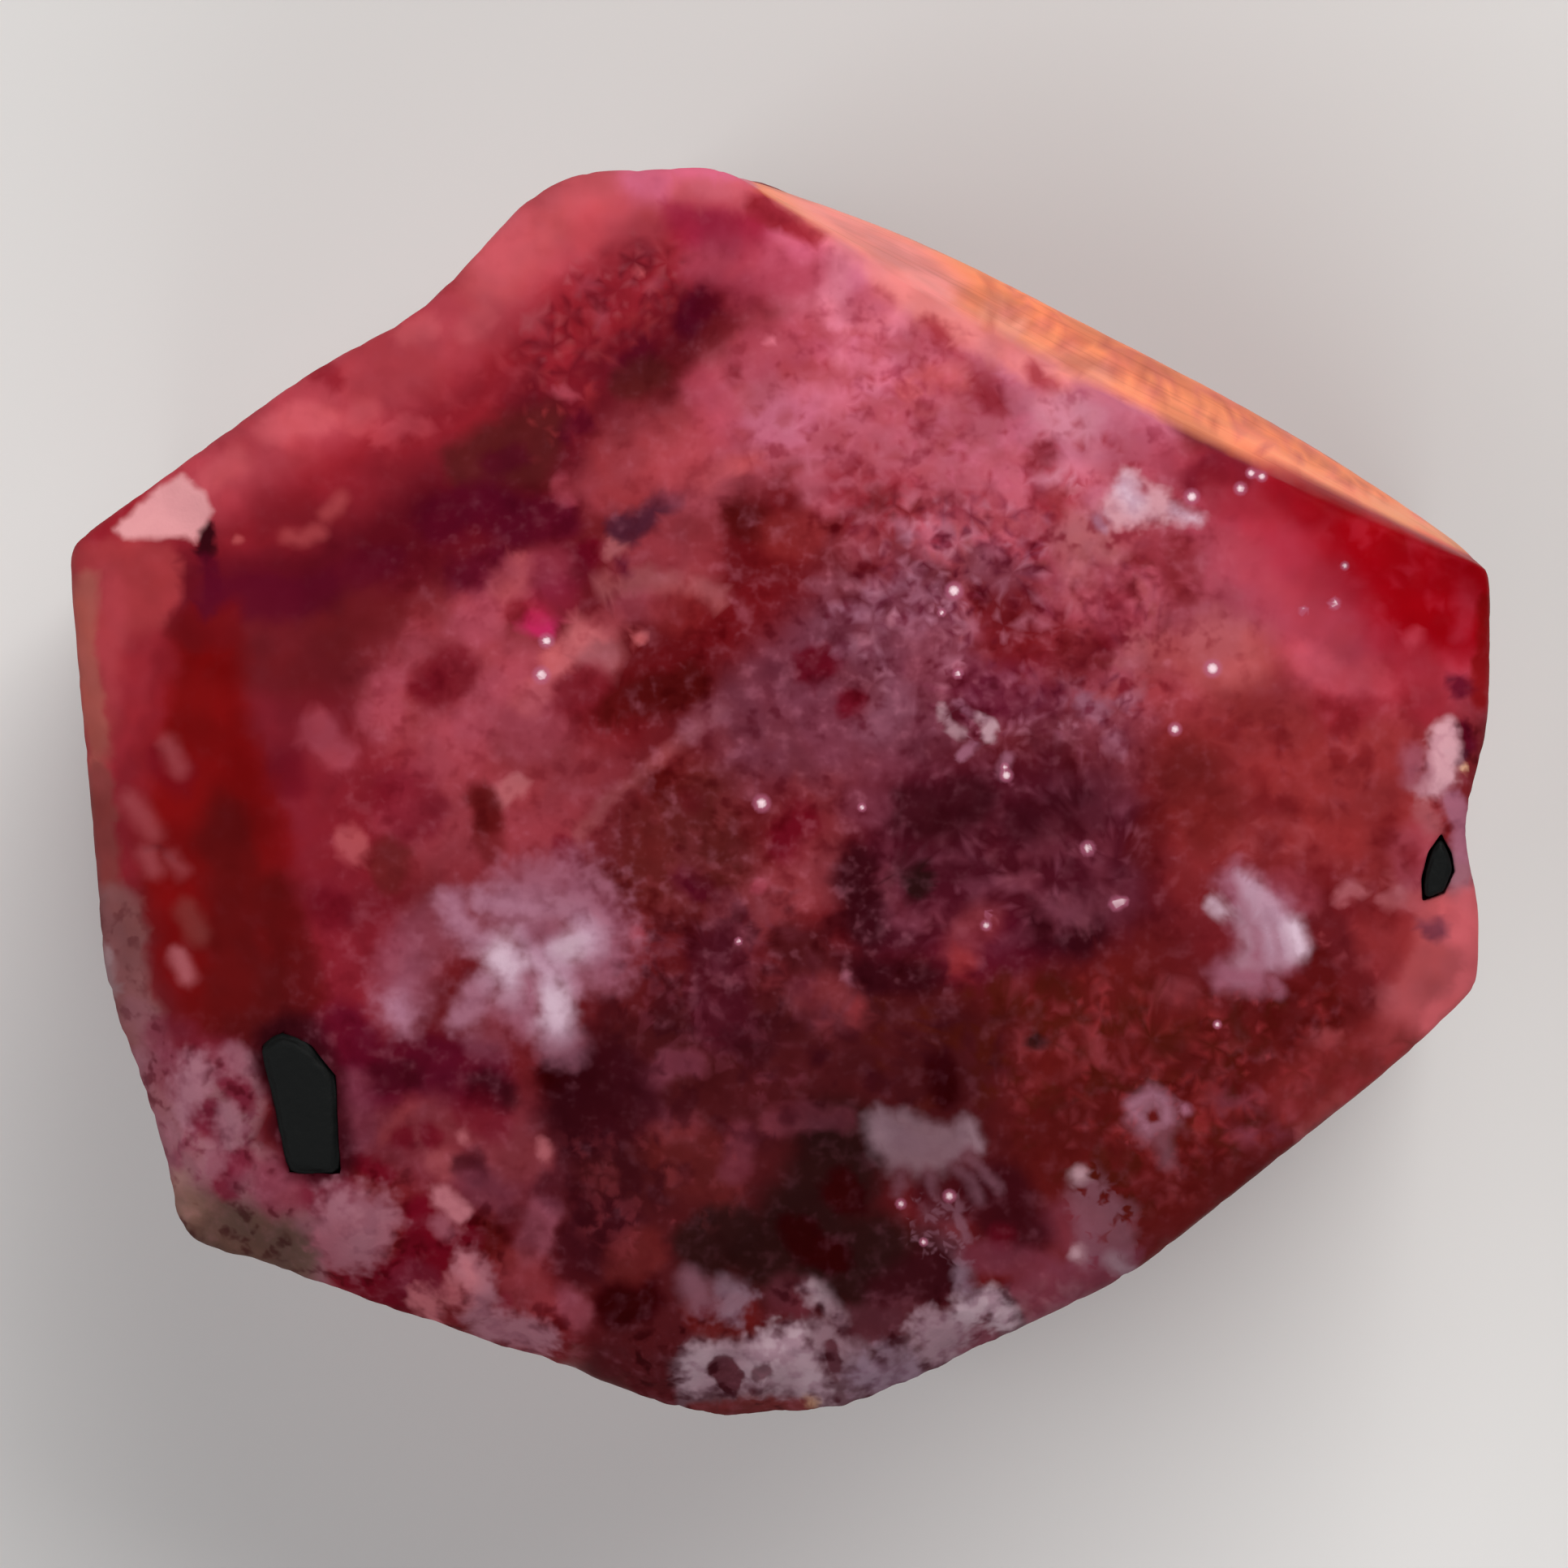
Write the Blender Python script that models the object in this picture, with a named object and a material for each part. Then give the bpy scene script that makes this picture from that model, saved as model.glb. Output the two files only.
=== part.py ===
"""A red beryl crystal, standing on its base, with two black grains of bixbyite set in its end face.

The prism stands along +Z with its flat base at z = 0. East is +X and north is +Y. Every size below is in
millimetres, and MM turns it into the metres of the scene.
"""

import math
from collections import namedtuple

import bmesh
import bpy
from mathutils import Vector, noise
from mathutils.geometry import delaunay_2d_cdt

MM = 0.001

# ---- driving dimensions --------------------------------------------------------------------------

HEIGHT = 8.0  # base to the level that the end face falls away from
HALF_WIDTH = 5.5  # axis to the east face
NORTH_REACH = 0.887 * HALF_WIDTH  # axis to the north face

# One face of the prism: the bearing that it looks along (degrees from east, anticlockwise), how far it
# is from the axis, and the width and drop of the worn bevel between it and the end face.
Side = namedtuple("Side", "name bearing reach bevel drop")
SIDES = (
    Side("east", 0.0, HALF_WIDTH, 0.30, 0.12),
    Side("north_east", 62.4, 0.745 * HALF_WIDTH, 0.08, 0.03),
    Side("north", 93.0, NORTH_REACH, 0.35, 0.16),
    Side("north_west", 125.5, 0.869 * HALF_WIDTH, 0.25, 0.12),
    Side("west", 184.5, 0.982 * HALF_WIDTH, 0.55, 0.26),
    Side("west_south_west", 200.6, 1.002 * HALF_WIDTH, 0.50, 0.30),
    Side("south_west", 250.7, 0.880 * HALF_WIDTH, 0.60, 0.34),
    Side("south", 270.0, 0.891 * HALF_WIDTH, 0.50, 0.34),
    Side("south_south_east", 295.4, 0.836 * HALF_WIDTH, 0.50, 0.28),
    Side("south_east", 308.8, 0.847 * HALF_WIDTH, 0.55, 0.24),
)
RIM_STEP = 0.30  # longest stretch between two points of the rim
CORNER_ROUND = 0.14  # how far from a corner its rounding starts

# The north-east rim is worn hollow between its ends, and the prism face below it swells outwards.
HOLLOW_SIDE = "north_east"
RIM_HOLLOW = 0.20
SWELL = 0.27
SWELL_FOOT = 0.6  # height where the swelling has died out again
SWELL_SKEW = 0.6  # below 1 the widest place is nearer to the rim than to the foot
HOLLOW_CLOSED = 0.22  # share of the wall's height over which the rim's hollow closes

# A nick (negative) or knuckle (positive) pushes the whole wall in or out around a point of the outline.
Nick = namedtuple("Nick", "x y reach push")
NICKS = (
    Nick(5.40, -0.25, 0.50, -0.21),  # notch in the east rim, beside the black grain
    Nick(5.45, -1.40, 0.60, -0.07),
    Nick(-2.85, 3.72, 0.55, -0.12),  # the saddle of the north-west side
    Nick(-1.90, 4.60, 0.42, 0.11),  # and the knuckle north of it
    Nick(-4.72, -3.35, 0.30, 0.12),  # knob on the south-west corner
    Nick(0.30, -4.90, 0.35, -0.04),
)
NICK_TOP, NICK_FOOT = 3.6, 1.8  # heights between which the nicks die out down the wall

# ---- the end face --------------------------------------------------------------------------------

SOUTH_FALL = 0.042  # fall for each millimetre south of the north face
DOME_FALL = 0.10  # fall from the middle to the rim
HILLOCK = 0.045  # height of the low growth hillocks
HILLOCK_SPAN = 1.5

# The brow is the edge where the main face breaks off towards the north-west and the west.
BROW = ((0.30, 4.20), (-0.16, 3.61), (-0.67, 2.85), (-1.30, 2.09), (-2.57, 1.45), (-4.02, 0.70),
        (-3.90, -0.19), (-3.58, -1.14), (-3.39, -2.02), (-3.30, -2.70))
BROW_TURN = 5  # the point of the brow where it turns from the north-west side to the west side
BROW_FADE = 0.9  # the brow dies out over this length at both its ends
RISER = 0.95  # width of the riser below the brow
VALLEY = 0.40  # depth of the valley under the north-west brow
SHELF_RISE = 0.20  # how far the shelf outside the valley stands above its floor
SHELF_START, SHELF_END = 0.85, 1.50  # distance from the brow over which the ground climbs to the shelf
WEST_DROP = 0.30  # fall from the brow to the west band
WEST_RISER = 1.40  # width of the riser there
TURN_BLEND = 0.9  # length over which the one kind of band passes into the other

# A lump (positive) or pit (negative) on the end face.
Lump = namedtuple("Lump", "x y reach rise")
LUMPS = (
    Lump(-4.78, 2.12, 0.34, -0.12),  # the chip at the north-west corner
    Lump(-4.42, 1.95, 0.20, -0.10),  # the notch beside it
    Lump(-4.90, 1.55, 0.30, 0.08),
    Lump(-3.60, 2.10, 0.26, 0.06),
    Lump(-1.40, 3.50, 0.30, 0.05),
    Lump(-2.00, 3.05, 0.28, -0.05),
    Lump(5.05, 0.20, 0.26, 0.10),  # pale crust above the east notch
    Lump(5.25, -1.50, 0.60, -0.20),  # worn south-east knob
    Lump(2.95, -3.10, 0.40, 0.07),
    Lump(-4.50, -2.60, 0.17, -0.16),  # pits of the south-west crust
    Lump(-4.36, -2.92, 0.16, -0.14),
    Lump(-4.20, -3.30, 0.20, -0.08),
    Lump(-4.62, -2.18, 0.22, 0.10),
    Lump(-4.05, -3.12, 0.18, 0.09),
    Lump(-3.33, -3.34, 0.30, 0.14),  # lumps along the south-west rim
    Lump(-2.50, -3.95, 0.24, 0.16),
    Lump(-2.90, -3.62, 0.20, -0.10),
    Lump(-1.85, -4.20, 0.22, 0.10),
    Lump(-0.46, -4.57, 0.16, -0.18),  # the pit of the south crust
    Lump(-0.80, -4.40, 0.22, 0.12),
    Lump(0.05, -4.36, 0.26, 0.13),
    Lump(0.75, -4.30, 0.28, 0.10),
    Lump(1.45, -4.02, 0.25, 0.14),
    Lump(-0.62, -3.90, 0.28, 0.08),
    Lump(0.30, -3.55, 0.75, -0.16),  # the hollow that the south crust fringes
    Lump(-1.70, -3.75, 0.40, -0.09),
)
CRUST_ROUGHNESS = 0.10  # height of the crust's own roughness
CRUST_SPAN = 0.55
CRUST_SOUTH = (-3.70, -4.45)  # y where the crust of the south rim begins, and is complete
CRUST_WEST = (-4.05, -4.45)  # x where the crust of the south-west corner begins, and is complete
CRUST_WEST_END = (-1.90, -2.40)  # and y where that crust ends in the north, and is complete

FACE_STEP = 0.25  # spacing of the ground points of the end face
FACE_JITTER = 0.07
FACE_MARGIN = 0.13  # no ground point is nearer to the rim or the brow than this

# ---- the prism faces and the base ----------------------------------------------------------------

LEDGES = (6.45, 5.60, 4.55, 3.65, 2.55, 1.50)  # heights of the growth ledges
LEDGE_TREAD = 0.08  # height over which a ledge steps in or out
LEDGE_DEPTH = 0.12  # about twice the usual step of the wall at a ledge
LEDGE_SCATTER = 2.7  # how unlike each other neighbouring stretches are
WALL_WAVE = 0.05
WALL_WAVE_SPAN = 2.3
FOOT_TOP = 0.42  # height where the chipped foot begins
FOOT_CHIP = 0.20  # how far that height wanders
FOOT_INSET = 0.20  # mean width of the chipped foot
FOOT_MARGIN = 0.05  # least width of it

# ---- the black grains ----------------------------------------------------------------------------

# A grain's outline, how deep it reaches into the crystal, how far it stands proud, and its chamfer.
Grain = namedtuple("Grain", "name outline depth proud chamfer")
LONG_GRAIN = Grain(
    "bixbyite_long_grain",
    ((-3.45, -2.94), (-3.48, -2.21), (-3.67, -1.98), (-3.87, -1.91), (-4.00, -2.00), (-3.87, -2.51),
     (-3.79, -2.93)),
    0.60, 0.05, 0.05,
)
RIM_GRAIN = Grain(
    "bixbyite_rim_grain",
    ((5.18, -0.46), (5.12, -0.36), (5.05, -0.46), (5.00, -0.66), (5.01, -0.79), (5.13, -0.75),
     (5.20, -0.60)),
    0.45, 0.04, 0.03,
)
POCKET_GAP = 0.03  # space between a grain and its pocket
POCKET_CLEAR = 0.6  # how far a pocket's cutter reaches above the grain

BERYL_RED = (0.34, 0.022, 0.036, 1.0)
BIXBYITE_BLACK = (0.008, 0.008, 0.009, 1.0)


def smooth_step(start, end, value):
    """0 on start's side, 1 beyond end, and a smooth climb between; start may be the larger."""
    t = min(1.0, max(0.0, (value - start) / (end - start)))
    return t * t * (3.0 - 2.0 * t)


def bell(distance, reach):
    """1 at the middle of a mound, about a third at its reach, and then next to nothing."""
    return math.exp(-((distance / reach) ** 2))


def looking(side):
    """The unit vector along which a prism face looks."""
    return Vector((math.cos(math.radians(side.bearing)), math.sin(math.radians(side.bearing))))


def meeting(first, second):
    """Where the planes of two neighbouring prism faces meet, seen from above."""
    a, b = looking(first), looking(second)
    det = a.x * b.y - a.y * b.x
    across = first.reach * b.y - second.reach * a.y
    upward = second.reach * a.x - first.reach * b.x
    return Vector((across / det, upward / det))


def nick_push(x, y):
    """How far the nicks and knuckles push the outline out at a point."""
    return sum(nick.push * bell(math.hypot(x - nick.x, y - nick.y), nick.reach) for nick in NICKS)


RimPoint = namedtuple("RimPoint", "place outward sides swell")


def side_points(index):
    """The rim's points along one prism face, from just after its first corner to its last one."""
    before, side, after = SIDES[index - 1], SIDES[index], SIDES[(index + 1) % len(SIDES)]
    start, end = meeting(before, side), meeting(side, after)
    along = (end - start).normalized()
    length = (end - start).length
    outward = looking(side)
    steps = max(1, math.ceil((length - 2 * CORNER_ROUND) / RIM_STEP))
    points = []
    for step in range(steps + 1):
        run = CORNER_ROUND + (length - 2 * CORNER_ROUND) * step / steps
        bow = 4 * (run / length) * (1 - run / length) if side.name == HOLLOW_SIDE else 0.0
        place = start + along * run - outward * RIM_HOLLOW * bow
        points.append(RimPoint(place, outward, (index,), bow))
    turned = (outward + looking(after)).normalized()
    softened = end - turned * CORNER_ROUND * 0.25
    points.append(RimPoint(softened, turned, (index, (index + 1) % len(SIDES)), 0.0))
    return points


def rim_points():
    """The whole rim of the end face, anticlockwise from the south end of the east face."""
    points = []
    for index in range(len(SIDES)):
        for point in side_points(index):
            push = nick_push(point.place.x, point.place.y)
            points.append(point._replace(place=point.place + point.outward * push))
    return points


def beyond_brow(x, y):
    """(distance beyond the brow, how far along the brow), the distance negative on the main face."""
    here = Vector((x, y))
    best, best_run, best_foot, best_normal, run = None, 0.0, None, None, 0.0
    for start, end in zip(BROW, BROW[1:]):
        a, b = Vector(start), Vector(end)
        along = b - a
        share = min(1.0, max(0.0, (here - a).dot(along) / along.length_squared))
        foot = a + along * share
        distance = (here - foot).length
        normal = Vector((along.y, -along.x)).normalized()
        if best is None or distance < best - 1e-6:
            best, best_run, best_foot, best_normal = distance, run + along.length * share, foot, normal
        elif distance < best + 1e-6:
            best_normal = (best_normal + normal).normalized()
        run += along.length
    return best if (here - best_foot).dot(best_normal) > 0 else -best, best_run


BROW_LENGTH = sum((Vector(b) - Vector(a)).length for a, b in zip(BROW, BROW[1:]))
TURN_RUN = sum((Vector(b) - Vector(a)).length for a, b in zip(BROW[:BROW_TURN], BROW[1:BROW_TURN + 1]))


def band_fall(x, y):
    """How far the ground outside the brow lies below the main face."""
    beyond, run = beyond_brow(x, y)
    if beyond <= 0:
        return 0.0
    riser = smooth_step(0.0, RISER, beyond)
    shelf = smooth_step(SHELF_START, SHELF_END, beyond)
    north_west = VALLEY * riser - SHELF_RISE * shelf
    west = WEST_DROP * smooth_step(0.0, WEST_RISER, beyond)
    turned = smooth_step(TURN_RUN - TURN_BLEND / 2, TURN_RUN + TURN_BLEND / 2, run)
    fade = smooth_step(0.0, BROW_FADE, run + 0.3) * smooth_step(0.0, BROW_FADE, BROW_LENGTH - run)
    return fade * (north_west * (1 - turned) + west * turned)


def bevel_fall(x, y):
    """How far the worn bevels along the rim lie below the ground inside them."""
    fall = 0.0
    for side in SIDES:
        outward = looking(side)
        margin = side.reach - (outward.x * x + outward.y * y)
        if side.name == HOLLOW_SIDE:
            margin -= RIM_HOLLOW
        fall = max(fall, side.drop * max(0.0, 1 - max(0.0, margin) / side.bevel) ** 2)
    return fall


def crust_cover(x, y):
    """1 where the pale crust covers the end face, 0 where it is bare."""
    return max(smooth_step(*CRUST_SOUTH, y), smooth_step(*CRUST_WEST, x) * smooth_step(*CRUST_WEST_END, y))


def ground(x, y):
    """The height of the end face at a point."""
    height = HEIGHT - SOUTH_FALL * (NORTH_REACH - y) - DOME_FALL * (x * x + y * y) / HALF_WIDTH ** 2
    height += HILLOCK * noise.noise(Vector((x, y, 3.7)) / HILLOCK_SPAN)
    height -= band_fall(x, y) + bevel_fall(x, y)
    for lump in LUMPS:
        height += lump.rise * bell(math.hypot(x - lump.x, y - lump.y), lump.reach)
    rough = noise.noise(Vector((x, y, 9.1)) / CRUST_SPAN)
    rough += 0.5 * noise.noise(Vector((x, y, 4.4)) * 2 / CRUST_SPAN)
    return height + CRUST_ROUGHNESS * crust_cover(x, y) * rough


def stepped(points, step):
    """The points of an open line, with more put in so that none is further than step from the next."""
    line = [Vector(points[0])]
    for start, end in zip(points, points[1:]):
        a, b = Vector(start), Vector(end)
        parts = max(1, math.ceil((b - a).length / step))
        line += [a.lerp(b, part / parts) for part in range(1, parts + 1)]
    return line


def ground_points(rim, brow):
    """A staggered field of points over the end face, kept clear of the rim and of the brow."""
    edge = rim + brow
    row_gap = FACE_STEP * math.sqrt(3) / 2
    rows = math.ceil(HALF_WIDTH / row_gap)
    columns = math.ceil(HALF_WIDTH / FACE_STEP)
    points = []
    for row in range(-rows, rows + 1):
        for column in range(-columns, columns + 1):
            base = Vector(((column + 0.5 * (row % 2)) * FACE_STEP, row * row_gap))
            shake = noise.noise_vector(Vector((base.x, base.y, 1.3)) * 3.1)
            place = base + Vector((shake.x, shake.y)) * FACE_JITTER
            if inside(place, rim) and all((place - other).length > FACE_MARGIN for other in edge):
                points.append(place)
    return points


def inside(place, outline):
    """True where a point lies inside a closed outline."""
    crossings = 0
    for a, b in zip(outline, outline[1:] + outline[:1]):
        if (a.y > place.y) != (b.y > place.y):
            at = a.x + (b.x - a.x) * (place.y - a.y) / (b.y - a.y)
            crossings += at > place.x
    return crossings % 2 == 1


def end_face(bm, rim):
    """Adds the end face to the mesh, and gives the vertices of its rim in the rim's order."""
    brow = [p for p in stepped(BROW, FACE_STEP)
            if inside(p, rim) and all((p - other).length > FACE_MARGIN for other in rim)]
    places = rim + brow + ground_points(rim, brow)
    edges = [(i, (i + 1) % len(rim)) for i in range(len(rim))]
    edges += [(len(rim) + i, len(rim) + i + 1) for i in range(len(brow) - 1)]
    outline = [list(range(len(rim)))]
    points, _, faces, originals, _, _ = delaunay_2d_cdt(places, edges, outline, 1, 1e-5)
    verts = [bm.verts.new((p.x, p.y, ground(p.x, p.y))) for p in points]
    for face in faces:
        bm.faces.new([verts[i] for i in face])
    found = {}
    for vert, sources in zip(verts, originals):
        for source in sources:
            found[source] = vert
    return [found[i] for i in range(len(rim))]


def ledge_step(side, band):
    """How far the stretch of a prism face between two ledges stands out, different on each face."""
    return LEDGE_DEPTH * noise.noise(Vector((side + 0.4, band + 0.3, 5.9)) * LEDGE_SCATTER)


def wall_push(point, height, band):
    """How far the wall stands out of the rim's own line at a height, in the stretch between two ledges."""
    down = min(1.0, max(0.0, (HEIGHT - height) / (HEIGHT - SWELL_FOOT)))
    swell = SWELL * math.sin(math.pi * down ** SWELL_SKEW)
    swell += RIM_HOLLOW * smooth_step(0.0, HOLLOW_CLOSED, down)
    ledge = sum(ledge_step(side, band) for side in point.sides) / len(point.sides)
    wave = WALL_WAVE * noise.noise(Vector((point.place.x, point.place.y, height)) / WALL_WAVE_SPAN)
    healed = -nick_push(point.place.x, point.place.y) * smooth_step(NICK_TOP, NICK_FOOT, height)
    return swell * point.swell + ledge + wave + healed


def wall_levels():
    """(height, band) of each ring of the wall, from the top down; a band lies between two ledges."""
    levels = []
    for band, ledge in enumerate(LEDGES):
        levels += [(ledge + LEDGE_TREAD / 2, band), (ledge - LEDGE_TREAD / 2, band + 1)]
    return levels


def bridge(bm, upper, lower):
    """Joins two rings of vertices by a strip of faces."""
    count = len(upper)
    for i in range(count):
        j = (i + 1) % count
        bm.faces.new((upper[i], lower[i], lower[j], upper[j]))


def crystal_mesh():
    """The beryl as one closed mesh: end face, prism faces, chipped foot and flat base."""
    rim = rim_points()
    bm = bmesh.new()
    ring = end_face(bm, [point.place for point in rim])
    for height, band in wall_levels():
        places = [point.place + point.outward * wall_push(point, height, band) for point in rim]
        lower = [bm.verts.new((p.x, p.y, height)) for p in places]
        bridge(bm, ring, lower)
        ring = lower
    foot_top, base = [], []
    for point in rim:
        place = point.place + point.outward * wall_push(point, FOOT_TOP, len(LEDGES))
        chip = noise.noise(Vector((place.x, place.y, 2.2)) / 0.9)
        foot_top.append(bm.verts.new((place.x, place.y, FOOT_TOP + FOOT_CHIP * chip)))
        inset = FOOT_MARGIN + FOOT_INSET * (0.6 + chip) if chip > -0.5 else FOOT_MARGIN
        stand = place - place.normalized() * inset
        base.append(bm.verts.new((stand.x, stand.y, 0.0)))
    bridge(bm, ring, foot_top)
    bridge(bm, foot_top, base)
    bm.faces.new(base)
    bmesh.ops.recalc_face_normals(bm, faces=bm.faces)
    return bm


def outline_grown(outline, growth):
    """A convex outline with each side moved out by growth."""
    points = [Vector(p) for p in outline]
    middle = sum(points, Vector((0.0, 0.0))) / len(points)
    grown = []
    for before, here, after in zip(points[-1:] + points[:-1], points, points[1:] + points[:1]):
        normals = []
        for a, b in ((before, here), (here, after)):
            normal = Vector(((b - a).y, -(b - a).x)).normalized()
            normals.append(normal if normal.dot(here - middle) > 0 else -normal)
        turned = (normals[0] + normals[1]).normalized()
        grown.append(here + turned * growth / turned.dot(normals[0]))
    return grown


def grain_mesh(grain, gap=0.0):
    """A black grain as a chamfered prism, or, with a gap, the cutter of the pocket that it sits in."""
    points = outline_grown(grain.outline, gap)
    middle = sum(points, Vector((0.0, 0.0))) / len(points)
    level = ground(middle.x, middle.y)
    bm = bmesh.new()
    floor = [bm.verts.new((p.x, p.y, level - grain.depth - gap)) for p in points]
    if gap:
        tops = [bm.verts.new((p.x, p.y, level + POCKET_CLEAR)) for p in points]
        bridge(bm, tops, floor)
    else:
        shoulder = [bm.verts.new((p.x, p.y, level + grain.proud - grain.chamfer)) for p in points]
        inner = outline_grown(grain.outline, -grain.chamfer)
        tops = [bm.verts.new((p.x, p.y, level + grain.proud)) for p in inner]
        bridge(bm, shoulder, floor)
        bridge(bm, tops, shoulder)
    bm.faces.new(tops)
    bm.faces.new(floor)
    bmesh.ops.recalc_face_normals(bm, faces=bm.faces)
    return bm


def material(name, colour, roughness, metallic=0.0):
    """A Principled material."""
    made = bpy.data.materials.new(name)
    made.use_nodes = True
    shader = made.node_tree.nodes["Principled BSDF"]
    shader.inputs["Base Color"].default_value = colour
    shader.inputs["Roughness"].default_value = roughness
    shader.inputs["Metallic"].default_value = metallic
    return made


def put(name, bm, shift, finish=None):
    """Makes an object of a mesh in millimetres, moved by shift."""
    bmesh.ops.translate(bm, verts=bm.verts, vec=shift)
    bmesh.ops.scale(bm, verts=bm.verts, vec=(MM, MM, MM))
    mesh = bpy.data.meshes.new(name)
    bm.to_mesh(mesh)
    bm.free()
    thing = bpy.data.objects.new(name, mesh)
    bpy.context.scene.collection.objects.link(thing)
    if finish:
        mesh.materials.append(finish)
    return thing


def cut_pocket(crystal, grain, shift):
    """Cuts the pocket that a grain sits in out of the crystal."""
    cutter = put("pocket_of_" + grain.name, grain_mesh(grain, POCKET_GAP), shift)
    cutter.hide_render = True
    cutter.display_type = "WIRE"
    cut = crystal.modifiers.new("pocket_of_" + grain.name, "BOOLEAN")
    cut.operation = "DIFFERENCE"
    cut.object = cutter


def main():
    """Builds the crystal and its grains, centred over the origin."""
    for thing in list(bpy.data.objects):
        bpy.data.objects.remove(thing)
    body = crystal_mesh()
    across = [vert.co.x for vert in body.verts]
    along = [vert.co.y for vert in body.verts]
    shift = Vector((-(min(across) + max(across)) / 2, -(min(along) + max(along)) / 2, 0.0))
    crystal = put("beryl_crystal", body, shift, material("red_beryl", BERYL_RED, 0.25))
    black = material("bixbyite", BIXBYITE_BLACK, 0.35, 0.3)
    for grain in (LONG_GRAIN, RIM_GRAIN):
        put(grain.name, grain_mesh(grain), shift, black)
        cut_pocket(crystal, grain, shift)


main()
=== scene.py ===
"""Looks of a red beryl crystal: a stubby prism on its base, painted, frosted and lit as a specimen.

East is +X, north is +Y and up is +Z. Sizes are millimetres unless a line says otherwise; MM turns one into
metres. Markings of the end face are placed on a chart, a fine square grid laid over the face.
"""

import logging
import math
from dataclasses import dataclass, field
from enum import Enum
from itertools import product

import bmesh
import bpy
import numpy as np
from mathutils import Matrix, Vector


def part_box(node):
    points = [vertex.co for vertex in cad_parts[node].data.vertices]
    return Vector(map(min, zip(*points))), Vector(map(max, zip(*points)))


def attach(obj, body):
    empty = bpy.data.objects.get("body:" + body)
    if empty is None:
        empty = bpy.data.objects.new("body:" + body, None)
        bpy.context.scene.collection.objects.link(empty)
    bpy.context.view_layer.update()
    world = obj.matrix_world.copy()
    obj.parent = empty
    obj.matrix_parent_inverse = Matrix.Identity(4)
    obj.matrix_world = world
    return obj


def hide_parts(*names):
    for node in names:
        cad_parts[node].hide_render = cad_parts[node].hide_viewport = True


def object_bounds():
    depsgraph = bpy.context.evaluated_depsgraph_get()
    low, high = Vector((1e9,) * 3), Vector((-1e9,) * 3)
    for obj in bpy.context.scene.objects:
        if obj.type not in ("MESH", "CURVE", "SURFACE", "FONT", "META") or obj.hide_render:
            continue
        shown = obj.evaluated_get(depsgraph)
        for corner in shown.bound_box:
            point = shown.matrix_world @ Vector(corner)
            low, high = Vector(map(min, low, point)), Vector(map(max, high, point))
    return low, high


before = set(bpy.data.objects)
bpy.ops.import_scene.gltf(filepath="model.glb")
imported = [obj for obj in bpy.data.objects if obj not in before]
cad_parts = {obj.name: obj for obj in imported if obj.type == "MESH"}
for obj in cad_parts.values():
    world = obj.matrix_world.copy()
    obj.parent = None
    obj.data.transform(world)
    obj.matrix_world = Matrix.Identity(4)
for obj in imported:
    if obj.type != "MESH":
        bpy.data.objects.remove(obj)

CAD_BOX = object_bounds()
MM = 0.001

log = logging.getLogger("red_beryl")

Point = tuple[float, float]
Outline = tuple[Point, ...]
Numbers = tuple[float, ...]
Colour = tuple[float, ...]
Feed = bpy.types.NodeSocket | float | tuple[float, ...]


# ---- colours ----


def linear(screen: np.ndarray) -> np.ndarray:
    """Screen values from 0 to 255 as linear values from 0 to 1, by the usual curve of a screen."""
    share = screen / 255.0
    return np.where(share <= 0.04045, share / 12.92, ((share + 0.055) / 1.055) ** 2.4)


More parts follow.
